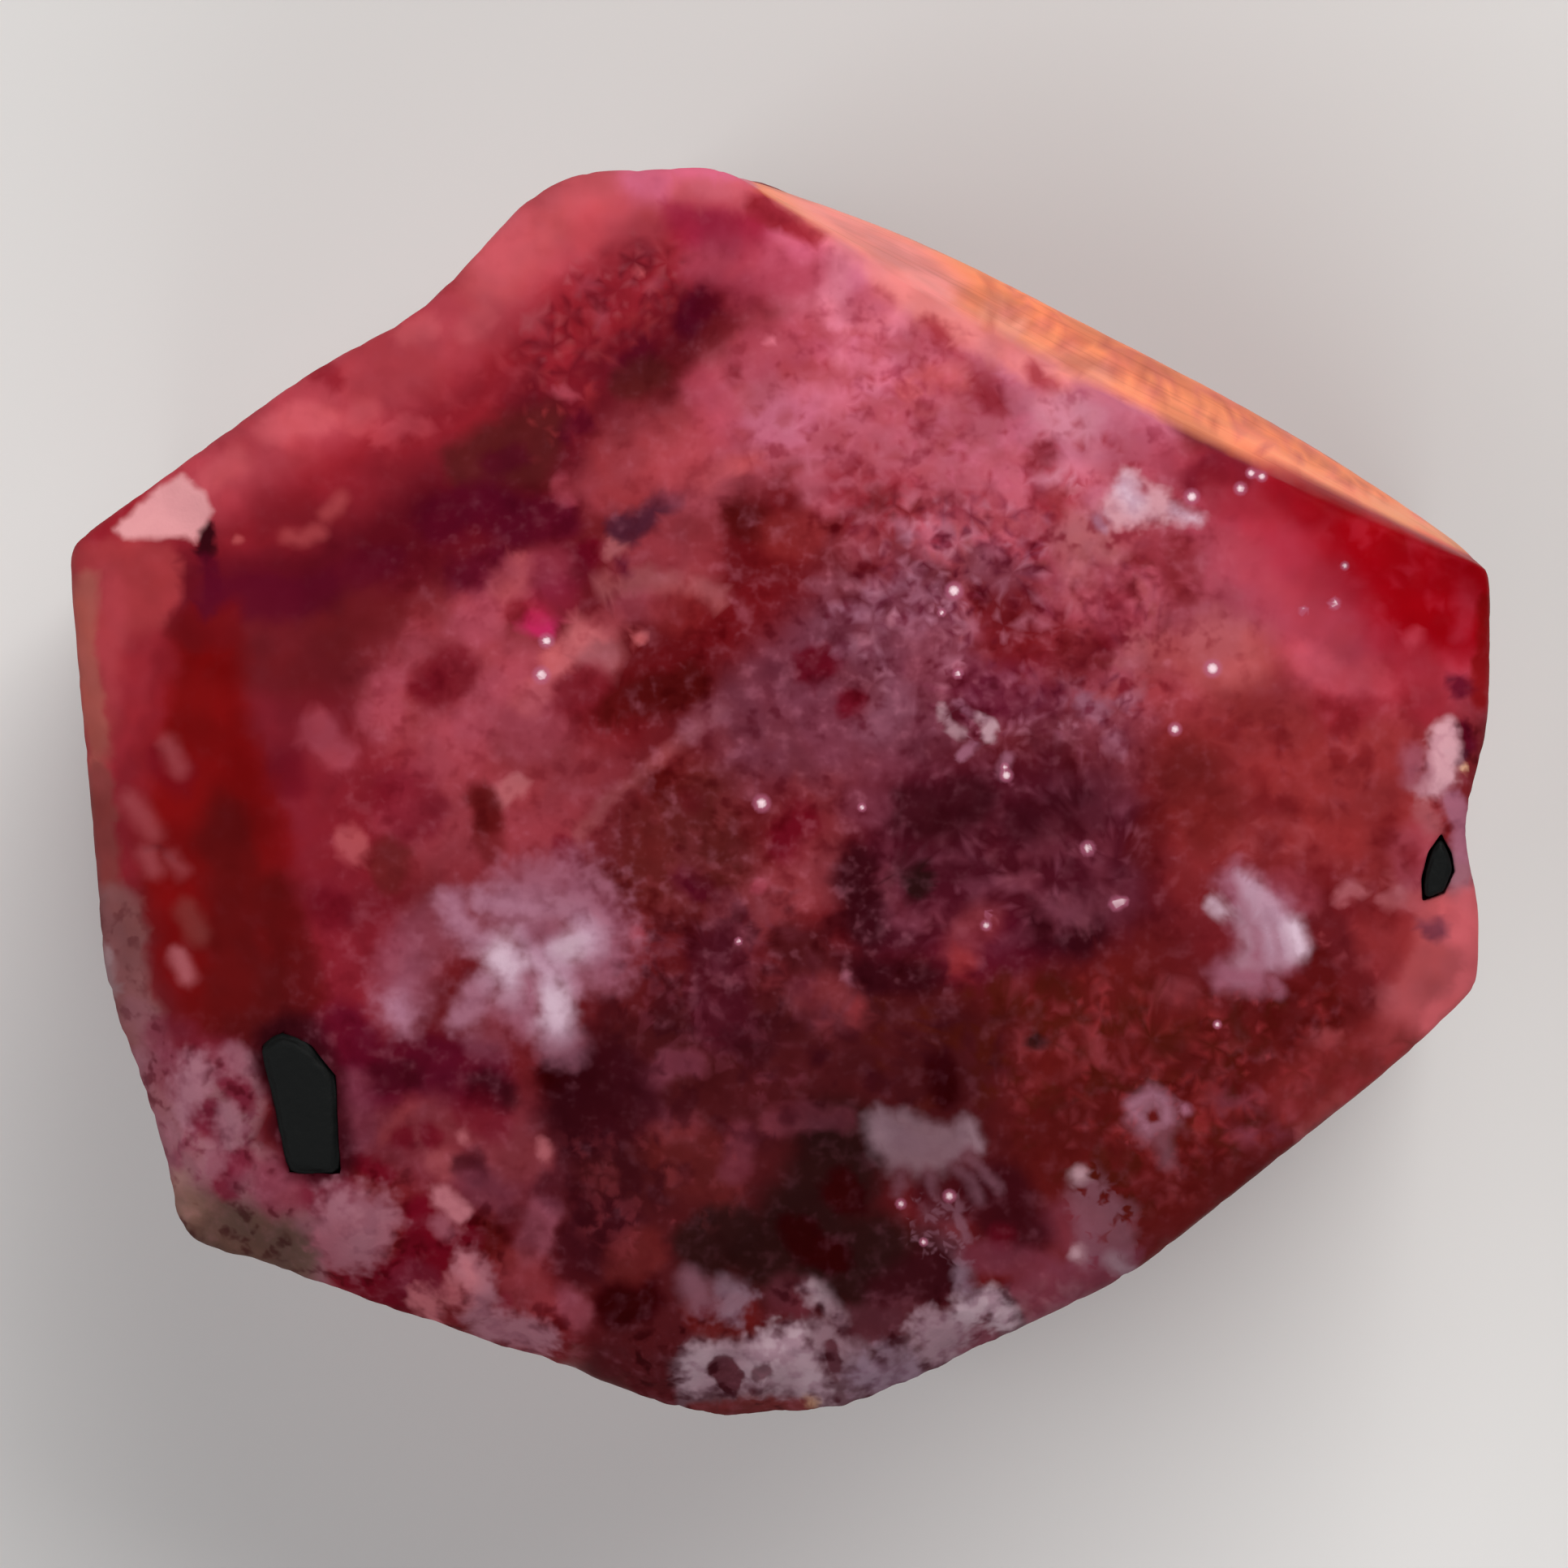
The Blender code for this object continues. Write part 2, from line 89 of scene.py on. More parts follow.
class Tint(Enum):
    """The colours of the stone and its fillings, as screen values from 0 to 255."""

    # the red of the body, from light to dark
    # the three oranges and the apricot below colour the north-east wall and its rim: partly the stone's own
    # colour and partly painted glow of the warm light on that side; the palest orange is a painted
    # highlight
    ORANGE_HIGHLIGHT = (252, 160, 138)
    ORANGE = (249, 142, 96)
    ORANGE_SHADE = (196, 94, 72)
    APRICOT = (236, 138, 138)
    SALMON_PALE = (204, 94, 102)
    SALMON = (184, 70, 82)
    ROSE_DUST = (160, 54, 60)
    ROSE_BROWN = (134, 54, 62)
    CLAY = (146, 47, 50)
    CARMINE = (146, 34, 46)
    CHERRY = (172, 44, 62)
    CRIMSON = (126, 31, 43)
    GARNET = (102, 12, 28)
    GARNET_DUST = (112, 34, 52)
    GEM = (148, 5, 17)
    GEM_RED = (120, 12, 14)
    GEM_SHADE = (84, 16, 17)
    BRICK = (106, 28, 34)
    RUSSET = (104, 34, 34)
    OXBLOOD = (106, 18, 24)
    BROWN = (92, 23, 23)
    OLIVE = (90, 30, 31)
    PEAT = (76, 22, 15)
    PLUM = (98, 18, 31)
    WINE = (84, 12, 33)
    DUSK = (72, 21, 25)
    POOL = (74, 18, 31)
    SOOT_RED = (54, 12, 20)
    NIGHT = (40, 17, 17)
    BLOOD_BLACK = (46, 2, 6)
    # milky and pink veils
    PINK = (214, 104, 134)
    PINK_BRIGHT = (230, 128, 150)
    MAGENTA = (196, 40, 96)
    MAGENTA_RED = (162, 38, 66)
    MILK = (190, 90, 108)
    MILK_PINK = (208, 108, 134)
    LAVENDER = (200, 110, 134)
    LAVENDER_GREY = (188, 124, 146)
    LAVENDER_DUSK = (160, 100, 122)
    ROSE_VEIL = (174, 66, 86)
    ROSE_CLOUD = (166, 70, 86)
    STREAK_ROSE = (202, 84, 101)
    HAZE = (146, 54, 64)
    MAUVE = (116, 52, 68)
    MAUVE_PALE = (148, 82, 102)
    LILAC = (150, 88, 108)
    SALMON_CLOUD = (204, 104, 110)
    GREY_ROSE = (158, 82, 87)
    SLATE = (76, 30, 46)
    KNOB = (176, 80, 86)
    # the pale crust and the white feathers
    STRAP = (168, 86, 79)
    STRAP_LOW = (132, 62, 60)
    STRAP_BEIGE = (146, 108, 100)
    ASH_ROSE = (130, 80, 82)
    ASH = (150, 122, 126)
    CRUST_ROSE = (136, 84, 94)
    CRUST_LILAC = (150, 82, 96)
    CRUST_SHADE = (98, 66, 74)
    CRUST_OLIVE = (94, 68, 60)
    CRUST_WHITE = (148, 116, 127)
    CRUST_BRIGHT = (178, 150, 160)
    CRUST_BLUE = (140, 112, 128)
    PIT = (80, 38, 46)
    CRUST_PINK = (160, 106, 120)
    SHELL = (180, 108, 118)
    FEATHER_LIGHT = (226, 196, 214)
    FEATHER = (206, 166, 188)
    FEATHER_SOFT = (180, 124, 147)
    FEATHER_ROSE = (168, 104, 126)
    FEATHER_GREY = (134, 104, 118)
    FEATHER_DULL = (128, 84, 98)
    FEATHER_WARM = (222, 167, 178)
    CHIP = (227, 156, 160)
    FLECK = (170, 80, 87)
    FLECK_PALE = (178, 98, 106)
    CRESCENT = (192, 82, 86)
    SPECK = (190, 150, 160)
    AMBER_SPECK = (206, 160, 124)

    def screen(self) -> np.ndarray:
        """The colour as three screen values from 0 to 255."""
        return np.array(self.value, float)

    def linear(self) -> np.ndarray:
        """The colour as three linear values from 0 to 1."""
        return linear(self.screen())


# ---- fields over points ----


def ramp(start: float, end: float, value: np.ndarray) -> np.ndarray:
    """A smooth climb from 0 where the value is at start to 1 at end; start may be the larger."""
    share = np.clip((value - start) / (end - start), 0.0, 1.0)
    return share * share * (3.0 - 2.0 * share)


class Clouds:
    """Smooth seeded noise, from about -1 to 1, over points of any unit."""

    TABLE = 256
    GAIN = 1.6
    PLANE = 0.37  # third coordinate of points that have only two
    OCTAVE_SHIFT = 17.3

    def __init__(self, seed: int) -> None:
        """Draws the table of slopes.

        Args:
            seed: Picks the pattern; the same seed always gives the same one.
        """
        dice = np.random.default_rng(seed)
        slopes = dice.normal(size=(self.TABLE, 3))
        self._slopes = slopes / np.linalg.norm(slopes, axis=1, keepdims=True)
        self._order = dice.permutation(self.TABLE)

    def _octave(self, points: np.ndarray) -> np.ndarray:
        """One octave, summed over the eight corners of each point's cell.

        Args:
            points: Points with three coordinates, one unit to a cell.

        Returns:
            The noise at each point.
        """
        cell = np.floor(points).astype(int)
        inner = points - cell
        ease = inner * inner * inner * (inner * (inner * 6 - 15) + 10)
        total = np.zeros(len(points))
        for step in product((0, 1), repeat=3):
            corner = (cell + step) % self.TABLE
            index = self._order[corner[:, 0]]
            index = self._order[(index + corner[:, 1]) % self.TABLE]
            index = self._order[(index + corner[:, 2]) % self.TABLE]
            slope = np.einsum("ij,ij->i", self._slopes[index], inner - np.array(step))
            share = np.where(step, ease, 1 - ease)
            total += share[:, 0] * share[:, 1] * share[:, 2] * slope
        return total * self.GAIN

    def at(self, points: np.ndarray, span: float | Numbers, octaves: int = 3) -> np.ndarray:
        """The noise of several octaves, each half as wide and half as strong as the one before.

        Args:
            points: Points with two or three coordinates.
            span: Width of the largest billows, one number or one for each axis.
            octaves: How many octaves.

        Returns:
            The noise at each point.
        """
        scaled = points / np.array(span)
        if scaled.shape[1] == 2:
            scaled = np.column_stack([scaled, np.full(len(scaled), self.PLANE)])
        total, weight, strength = np.zeros(len(points)), 0.0, 1.0
        for octave in range(octaves):
            total += strength * self._octave(scaled * 2.0 ** octave + self.OCTAVE_SHIFT * octave)
            weight += strength
            strength *= 0.5
        return total / weight


def distance_to_line(points: np.ndarray, line: Outline, closed: bool) -> np.ndarray:
    """How far each point is from a broken line.

    Args:
        points: Points with two coordinates.
        line: The line's corners.
        closed: Whether the last corner joins the first.

    Returns:
        The distance of each point.
    """
    corners = [np.array(corner, float) for corner in line]
    if len(corners) == 1:
        return np.linalg.norm(points - corners[0], axis=1)
    ends = list(zip(corners, corners[1:]))
    if closed:
        ends.append((corners[-1], corners[0]))
    best = np.full(len(points), np.inf)
    for start, end in ends:
        along = end - start
        share = np.clip((points - start) @ along / (along @ along), 0.0, 1.0)
        best = np.minimum(best, np.linalg.norm(points - start - share[:, None] * along, axis=1))
    return best


def within(points: np.ndarray, outline: Outline) -> np.ndarray:
    """Which points lie inside a closed outline.

    Args:
        points: Points with two coordinates.
        outline: The outline's corners.

    Returns:
        True for each point inside.
    """
    inside = np.zeros(len(points), bool)
    for (x0, y0), (x1, y1) in zip(outline, outline[1:] + outline[:1]):
        if y0 != y1:
            spans = (points[:, 1] < y0) != (points[:, 1] < y1)
            crossing = x0 + (x1 - x0) * (points[:, 1] - y0) / (y1 - y0)
            inside ^= spans & (crossing > points[:, 0])
    return inside


# ---- the chart and what is drawn on it ----


@dataclass(frozen=True)
class Chart:
    """The grid on which the markings are drawn: x to the east and y to the south.

    It is drawn for an eye high over the crystal and a little north-east of it, so that the upper part of
    the north-east wall shows on it too. A wall that the chart doesn't show is painted by height.

    Attributes:
        level: Height that the grid lies at.
        lean: How far the line to the eye leans east and north for each millimetre of height.
        eye: Height of the eye above the grid.
    """

    per_mm: float = 159.7
    middle: Point = (954.1, 985.8)
    level: float = 8.0
    lean: Point = (0.0246, 0.0463)
    eye: float = 67.9

    def of(self, places: np.ndarray) -> np.ndarray:
        """Where points of the crystal lie on the chart.

        Args:
            places: Points in millimetres.

        Returns:
            Their two chart coordinates.
        """
        down = self.level - places[:, 2:3]
        seen = (places[:, :2] + np.array(self.lean) * down) * self.eye / (self.eye + down)
        return np.array(self.middle) + seen * np.array([self.per_mm, -self.per_mm])


@dataclass(frozen=True)
class Dab:
    """One marking of one tint on the chart.

    Attributes:
        name: What it shows.
        reach: How far it reaches from its line, in chart squares; for a filled one, beyond its outline.
        fade: Width over which its edge dies out.
        line: The chart points that it follows or, if filled, that bound it.
        strength: How much of what lies under it is covered, 0 to 1.
        blotch: Size of the blotches that it breaks into; 0 leaves it whole.
        share: Share of its area that the blotches cover.
        filled: Whether the line is an outline.
    """

    name: str
    tint: Tint
    reach: float
    fade: float
    line: Outline
    strength: float = 1.0
    blotch: float = 0.0
    share: float = 0.5
    filled: bool = False

    def away(self, points: np.ndarray) -> np.ndarray:
        """How far beyond the marking's edge some points are.

        Args:
            points: Chart points.

        Returns:
            The distance of each, negative inside.
        """
        distance = distance_to_line(points, self.line, self.filled)
        if self.filled:
            distance = np.where(within(points, self.line), -distance, distance)
        return distance - self.reach

    def near(self, points: np.ndarray, margin: float = 0.0) -> np.ndarray:
        """Which points the marking can reach.

        Args:
            points: Chart points.
            margin: How much further than its fade it may act.

        Returns:
            The numbers of those points.
        """
        corners = np.array(self.line, float)
        grown = self.reach + self.fade + margin
        inside = (points > corners.min(0) - grown) & (points < corners.max(0) + grown)
        return np.flatnonzero(np.all(inside, axis=1))


def pairs(path: str) -> Outline:
    """The chart points of a path, which is written as x,y pairs with spaces between them."""
    return tuple(tuple(float(number) for number in pair.split(",")) for pair in path.split())


def patch(name: str, tint: Tint, fade: float, path: str, strength: float = 1.0, blotch: float = 0.0,
          share: float = 0.5) -> Dab:
    """A filled marking, whose edge dies out half inside its outline and half outside."""
    return Dab(name, tint, -fade / 2, fade, pairs(path), strength, blotch, share, True)


def dabs(name: str, tint: Tint, *rows: tuple[float, float, float, str]) -> tuple[Dab, ...]:
    """Markings of one name and tint, each given as its strength, reach, fade and path."""
    return tuple(Dab(name, tint, reach, fade, pairs(path), strength)
                 for strength, reach, fade, path in rows)


def blots(tint: Tint, *rows: tuple[float, float, float, str]) -> tuple[Dab, ...]:
    """Markings of the stone itself, named after their tint."""
    return dabs(tint.name, tint, *rows)


# ---- the markings of the end face, each list from the bottom up ----

BROAD = (
    patch("south-east brown", Tint.BROWN, 130, "1230,1180 1420,1150 1480,1240 1640,1220 1790,1290 "
        "1640,1400 1400,1600 1230,1600 1190,1420 1040,1330 1060,1230"),
    patch("south dusk", Tint.DUSK, 110, "740,1230 900,1200 1080,1190 1230,1240 1240,1420 1100,1480 "
        "1220,1640 900,1700 740,1680 670,1500 680,1330"),
    patch("east clay", Tint.CLAY, 110, "1440,850 1560,830 1740,850 1790,1000 1720,1100 1560,1060 1470,1090 "
        "1400,1010"),
    patch("north milk", Tint.MILK, 80, "950,300 1060,300 1190,380 1340,455 1450,510 1460,600 1370,650 "
        "1250,640 1120,600 1020,580 900,590 800,600 735,600 770,550 850,510 880,440 955,400"),
    patch("north-east rose", Tint.ROSE_VEIL, 80, "1440,560 1560,560 1850,680 1850,860 1740,880 1560,840 "
        "1430,760"),
    patch("cherry slope", Tint.CHERRY, 90, "1480,560 1640,590 1700,640 1760,800 1700,830 1600,780 "
        "1530,690", 0.85),
    patch("gem corner", Tint.GEM, 70, "1570,560 1640,590 1880,690 1880,850 1825,810 1775,812 1715,790 "
        "1675,740 1622,660"),
    patch("corner veil", Tint.CHERRY, 40, "1600,600 1860,700 1850,840 1700,790 1620,700", 0.45, 26, 0.35),
    patch("west haze", Tint.HAZE, 90, "430,850 560,720 680,760 720,830 700,900 760,980 720,1050 600,1080 "
        "470,1080 400,970"),
    *blots(Tint.CRIMSON, (1, 45, 70, "300,780 350,880 390,980 420,1100 440,1210")),
    patch("middle mauve", Tint.MAUVE, 90, "890,840 1000,700 1130,680 1260,780 1420,860 1400,940 1230,900 "
        "1130,970 1000,970 880,960"),
    patch("dark pool", Tint.POOL, 80, "1060,990 1130,930 1300,930 1420,980 1420,1120 1330,1180 1140,1190 "
        "1060,1200 1040,1090"),
    patch("mottled rose", Tint.ROSE_CLOUD, 90, "1180,620 1300,650 1440,640 1520,760 1480,870 1360,890 "
        "1250,850 1190,740"),
    patch("middle russet", Tint.RUSSET, 70, "780,1000 850,940 900,960 930,1080 900,1130 800,1130 "
        "740,1090"),
    patch("north oxblood", Tint.OXBLOOD, 70, "890,640 960,640 1010,690 1000,730 960,770 860,840 770,880 "
        "735,850 800,790 880,760 880,700", 0.85),
    patch("south mauve", Tint.MAUVE, 50, "430,1340 560,1300 660,1360 700,1440 660,1520 560,1480 "
        "450,1430", 0.5),
)

MIDDLE = (
    *blots(Tint.MILK, (0.8, 16, 24, "1012,612 1040,604"), (0.7, 18, 26, "1160,650 1185,664"),
        (0.4, 16, 26, "1074,660 1078,700")),
    *blots(Tint.ROSE_CLOUD, (0.8, 24, 30, "478,820 505,808"), (0.85, 13, 18, "460,885 475,880"),
        (0.85, 13, 18, "388,895 400,915 416,932"), (0.7, 22, 34, "560,885 600,870 640,860"),
        (0.6, 26, 30, "590,790 620,815 640,840"), (0.6, 14, 24, "1580,1096 1600,1104")),
    *blots(Tint.HAZE, (0.7, 26, 34, "560,790 600,770")),
    *blots(Tint.ROSE_CLOUD, (0.6, 18, 28, "655,905 690,880"),
        (0.8, 16, 26, "585,766 622,738 656,706 676,706")),
    *blots(Tint.GARNET, (0.9, 11, 12, "722,690 732,682"), (0.8, 16, 22, "990,1015 972,1040")),
    *blots(Tint.FLECK_PALE, (0.9, 11, 12, "612,984 636,972")),
    *blots(Tint.WINE, (0.8, 16, 26, "575,706 606,694"), (0.8, 13, 14, "845,1085 860,1095")),
    *blots(Tint.FLECK, (0.85, 12, 15, "430,1036 438,1048"), (0.6, 8, 18, "616,722 640,694")),
    *blots(Tint.CRIMSON, (0.95, 22, 18, "535,845 558,828"), (0.9, 11, 12, "640,750")),
    *blots(Tint.MAGENTA, (0.9, 10, 14, "662,765 670,772")),
    *blots(Tint.MAGENTA_RED, (0.5, 14, 18, "690,735 668,745")),
    *blots(Tint.FLECK_PALE, (0.85, 15, 20, "732,800 744,808")),
    *blots(Tint.SALMON_CLOUD, (0.9, 12, 14, "718,782 752,770"), (0.8, 11, 14, "702,800 682,818"),
        (0.4, 10, 14, "668,850 650,865"), (0.9, 6, 7, "788,788")),
    *blots(Tint.GARNET, (0.5, 8, 12, "525,845 540,838")),
    *blots(Tint.OXBLOOD, (0.7, 20, 30, "730,870 756,895")),
    *blots(Tint.CRIMSON, (0.7, 14, 18, "702,862 730,840")),
    *blots(Tint.GEM_SHADE, (0.85, 10, 20, "592,985 596,1012"), (0.5, 10, 20, "604,1040"),
        (0.9, 14, 22, "765,872 800,858 850,840")),
    *blots(Tint.OXBLOOD, (0.8, 20, 24, "862,775 885,765")),
    *blots(Tint.ROSE_CLOUD, (0.6, 12, 16, "478,1010 500,1003")),
    *blots(Tint.RUSSET, (0.7, 14, 20, "478,1075 482,1060")),
    *blots(Tint.GREY_ROSE, (0.6, 3, 12, "700,1040 760,978 830,920 890,872")),
    *blots(Tint.HAZE, (0.85, 26, 32, "845,640 850,690 800,700"), (0.5, 20, 30, "700,960 745,935")),
    *blots(Tint.CRIMSON, (0.6, 18, 22, "465,955 500,948"), (0.5, 14, 22, "734,750 748,760")),
    *blots(Tint.GREY_ROSE, (0.8, 9, 14, "745,722 800,712 850,722 885,738"),
        (0.95, 9, 9, "752,680 762,668")),
    *blots(Tint.WINE, (0.7, 6, 8, "770,697")),
    *blots(Tint.SLATE, (0.95, 13, 12, "772,650 790,640"), (0.9, 10, 12, "812,622 830,618")),
    *blots(Tint.SALMON_PALE, (0.85, 8, 10, "870,590 892,580 915,570")),
    *blots(Tint.GEM_SHADE, (0.8, 12, 14, "812,968 826,974")),
    *blots(Tint.MILK, (0.9, 8, 9, "820,586 828,596")),
    *blots(Tint.ROSE_CLOUD, (0.45, 12, 24, "500,975 540,930 580,920"),
        (0.3, 30, 40, "740,580 790,540 850,560"), (0.6, 12, 22, "780,744 800,748")),
    *blots(Tint.MILK, (0.5, 14, 24, "880,606 840,612")),
    *blots(Tint.MAUVE, (0.7, 30, 40, "930,870 1000,880 1080,905")),
    *blots(Tint.LILAC, (0.5, 20, 34, "500,1185 520,1150 550,1125"),
        (0.6, 13, 20, "1102,852 1108,872 1080,896"), (0.45, 12, 18, "855,895 875,880"),
        (0.45, 9, 14, "968,865 1000,850")),
    *blots(Tint.GARNET, (0.9, 16, 14, "1003,822 1016,815"), (0.8, 9, 10, "1042,872 1056,868"),
        (0.7, 11, 12, "852,990"), (0.6, 8, 12, "690,1045 702,1055")),
    *blots(Tint.OLIVE, (0.6, 26, 32, "860,1000 880,1055")),
    *blots(Tint.ROSE_BROWN, (0.75, 24, 30, "950,1105 1005,1080"), (0.6, 6, 16, "1028,1010 1030,1060")),
    *blots(Tint.MAUVE, (0.8, 14, 18, "895,1120 915,1150 900,1185")),
    patch("middle grain", Tint.ROSE_BROWN, 40, "740,1000 880,900 1050,960 1040,1100 960,1230 "
        "780,1180", 0.4, 26, 0.35),
    patch("middle grain", Tint.SOOT_RED, 40, "760,1140 900,1130 1060,1060 1060,1240 900,1290 "
        "740,1250", 0.5, 36, 0.35),
    *blots(Tint.POOL, (0.8, 24, 30, "880,1180 890,1260")),
    *blots(Tint.DUSK, (0.8, 18, 20, "978,1160 992,1180")),
    *blots(Tint.ROSE_BROWN, (0.7, 18, 28, "1005,1230 1035,1245")),
    *blots(Tint.CLAY, (0.6, 6, 10, "1055,1245")),
    *blots(Tint.LILAC, (0.8, 5, 7, "1040,1205")),
    *blots(Tint.ROSE_CLOUD, (0.8, 7, 9, "938,1092"), (0.7, 5, 8, "785,1150")),
)

NORTH = (
    *blots(Tint.POOL, (0.3, 20, 30, "966,846 990,850")),
    *blots(Tint.PINK_BRIGHT, (0.85, 18, 24, "1008,318 1028,340 1045,372"),
        (0.7, 11, 14, "1078,398 1108,385"), (0.45, 18, 28, "1304,512 1330,516"),
        (0.4, 14, 24, "1306,574 1318,584")),
    *blots(Tint.MILK_PINK, (0.85, 20, 24, "1038,436 1072,462")),
    patch("milk patch", Tint.MILK_PINK, 22, "893,518 945,502 1000,478 1060,476 1074,520 1020,560 955,556 "
        "915,540", 0.95),
    patch("salmon milk", Tint.MILK, 40, "1020,500 1200,500 1230,560 1120,600 1010,580", 0.8),
    *blots(Tint.SALMON_PALE, (0.8, 9, 14, "1122,480 1150,460 1182,466")),
    patch("lavender", Tint.LAVENDER, 26, "1290,470 1340,450 1430,495 1450,540 1380,570 1330,590 1296,580 "
        "1290,540", 0.9),
    *blots(Tint.LAVENDER, (0.6, 8, 12, "1275,515 1262,530"), (0.6, 14, 20, "1236,478 1256,490"),
        (0.5, 12, 18, "1150,660 1160,672")),
    *blots(Tint.PINK_BRIGHT, (0.85, 24, 32, "1060,366 1088,372"), (0.6, 16, 26, "1018,322 1036,320")),
    *blots(Tint.PINK, (0.5, 10, 16, "1060,350 1090,340")),
    *blots(Tint.APRICOT, (0.8, 14, 20, "1100,350 1170,395 1230,428 1300,456")),
    *blots(Tint.CARMINE, (0.8, 6, 14, "1202,470 1214,485 1224,502"), (0.7, 6, 14, "1150,400 1158,416"),
        (0.6, 6, 10, "1275,455 1292,478")),
    *blots(Tint.ROSE_VEIL, (0.6, 22, 30, "930,440 985,425"), (0.6, 18, 26, "870,480 890,530"),
        (0.45, 14, 20, "1060,375 1085,370")),
    *blots(Tint.ROSE_DUST, (0.6, 26, 40, "770,578 840,556")),
    *blots(Tint.PINK_BRIGHT, (0.8, 5, 8, "948,424")),
    *blots(Tint.GEM_SHADE, (0.75, 14, 15, "910,636 926,644 942,650")),
    *blots(Tint.LAVENDER_GREY, (0.6, 10, 16, "1285,590 1312,598")),
    *blots(Tint.CRIMSON, (0.7, 7, 10, "908,458"), (0.8, 8, 16, "1274,566 1284,560"),
        (0.7, 8, 16, "1284,612 1298,622")),
    *blots(Tint.OXBLOOD, (0.5, 9, 16, "974,598 962,622"), (0.6, 8, 12, "1075,700")),
    *blots(Tint.MILK, (0.4, 18, 30, "1206,700 1224,750"), (0.85, 8, 12, "990,592 1005,585")),
    *blots(Tint.CLAY, (0.7, 16, 26, "966,660 990,664"), (0.5, 16, 26, "826,752 840,756")),
    patch("red grain", Tint.CARMINE, 30, "1000,570 1130,590 1130,650 1040,650", 0.6, 22, 0.4),
    patch("milk grain", Tint.MILK, 40, "1090,620 1180,560 1260,530 1290,640 1230,700 "
        "1130,690", 0.6, 24, 0.45),
    patch("milk grain", Tint.PINK, 40, "1080,480 1240,440 1290,520 1260,600 1120,600", 0.4, 26, 0.35),
    patch("red grain", Tint.ROSE_DUST, 40, "880,420 1040,380 1200,420 1230,560 1060,620 "
        "900,600", 0.35, 30, 0.35),
    patch("dark grain", Tint.BRICK, 50, "1190,640 1440,640 1500,760 1440,880 1290,880 "
        "1190,780", 0.7, 34, 0.3),
    patch("rose grain", Tint.FLECK, 50, "1100,640 1440,630 1500,760 1420,880 1260,860 "
        "1180,780", 0.5, 20, 0.3),
    *blots(Tint.CLAY, (0.4, 12, 20, "1308,618 1326,622")),
    *blots(Tint.ROSE_VEIL, (0.5, 20, 30, "1396,556 1424,566")),
    *blots(Tint.GARNET, (0.75, 12, 16, "1368,782 1378,770")),
    *blots(Tint.MAUVE, (0.5, 16, 26, "1214,696 1222,716"), (0.9, 22, 30, "1110,796 1134,806")),
    *blots(Tint.OXBLOOD, (0.8, 20, 28, "1230,740 1250,790 1240,720"), (0.9, 14, 18, "1392,676 1410,668"),
        (0.6, 12, 20, "1450,680 1470,740")),
    *blots(Tint.MAUVE_PALE, (0.55, 14, 22, "1222,694 1236,706")),
    patch("lavender threads", Tint.LAVENDER_DUSK, 40, "1010,705 1140,690 1200,760 1190,830 1080,825 "
        "1010,790", 0.6, 16, 0.38),
    *blots(Tint.LAVENDER_DUSK, (0.7, 5, 8, "1005,718 1040,712 1075,730"),
        (0.7, 5, 8, "1030,742 1062,758 1085,772"), (0.6, 6, 8, "1110,640 1120,660"),
        (0.6, 5, 8, "1165,655 1168,675"), (0.8, 9, 10, "1332,868 1352,882"),
        (0.8, 8, 10, "1384,866 1404,852"), (0.8, 8, 10, "1372,918 1384,922")),
    *blots(Tint.LAVENDER_GREY, (0.8, 5, 7, "1100,762 1116,770 1122,795"),
        (0.7, 5, 7, "1100,788 1130,802")),
    *blots(Tint.LAVENDER_DUSK, (0.7, 6, 8, "1035,800 1075,795"), (0.7, 6, 9, "1150,800 1165,815")),
    patch("lavender frost", Tint.LAVENDER_GREY, 50, "1030,640 1180,600 1300,640 1330,800 1420,880 1330,940 "
        "1160,900 1040,830", 0.55, 11, 0.22),
    patch("wine gaps", Tint.WINE, 50, "1030,640 1180,600 1420,660 1430,880 1330,940 1160,900 "
        "1040,830", 0.5, 12, 0.2),
    patch("milk frost", Tint.MILK_PINK, 50, "960,420 1100,400 1280,480 1420,540 1380,620 1200,600 "
        "1000,560", 0.5, 13, 0.22),
    patch("crimson gaps", Tint.CARMINE, 50, "960,420 1100,400 1280,480 1420,540 1400,660 1200,640 "
        "1000,580", 0.5, 13, 0.16),
    *blots(Tint.MAUVE, (0.8, 16, 26, "1112,796 1132,806")),
    *blots(Tint.BRICK, (0.4, 18, 26, "1016,700 1034,712")),
    *blots(Tint.FEATHER_WARM, (0.3, 18, 26, "1300,506 1326,518")),
)

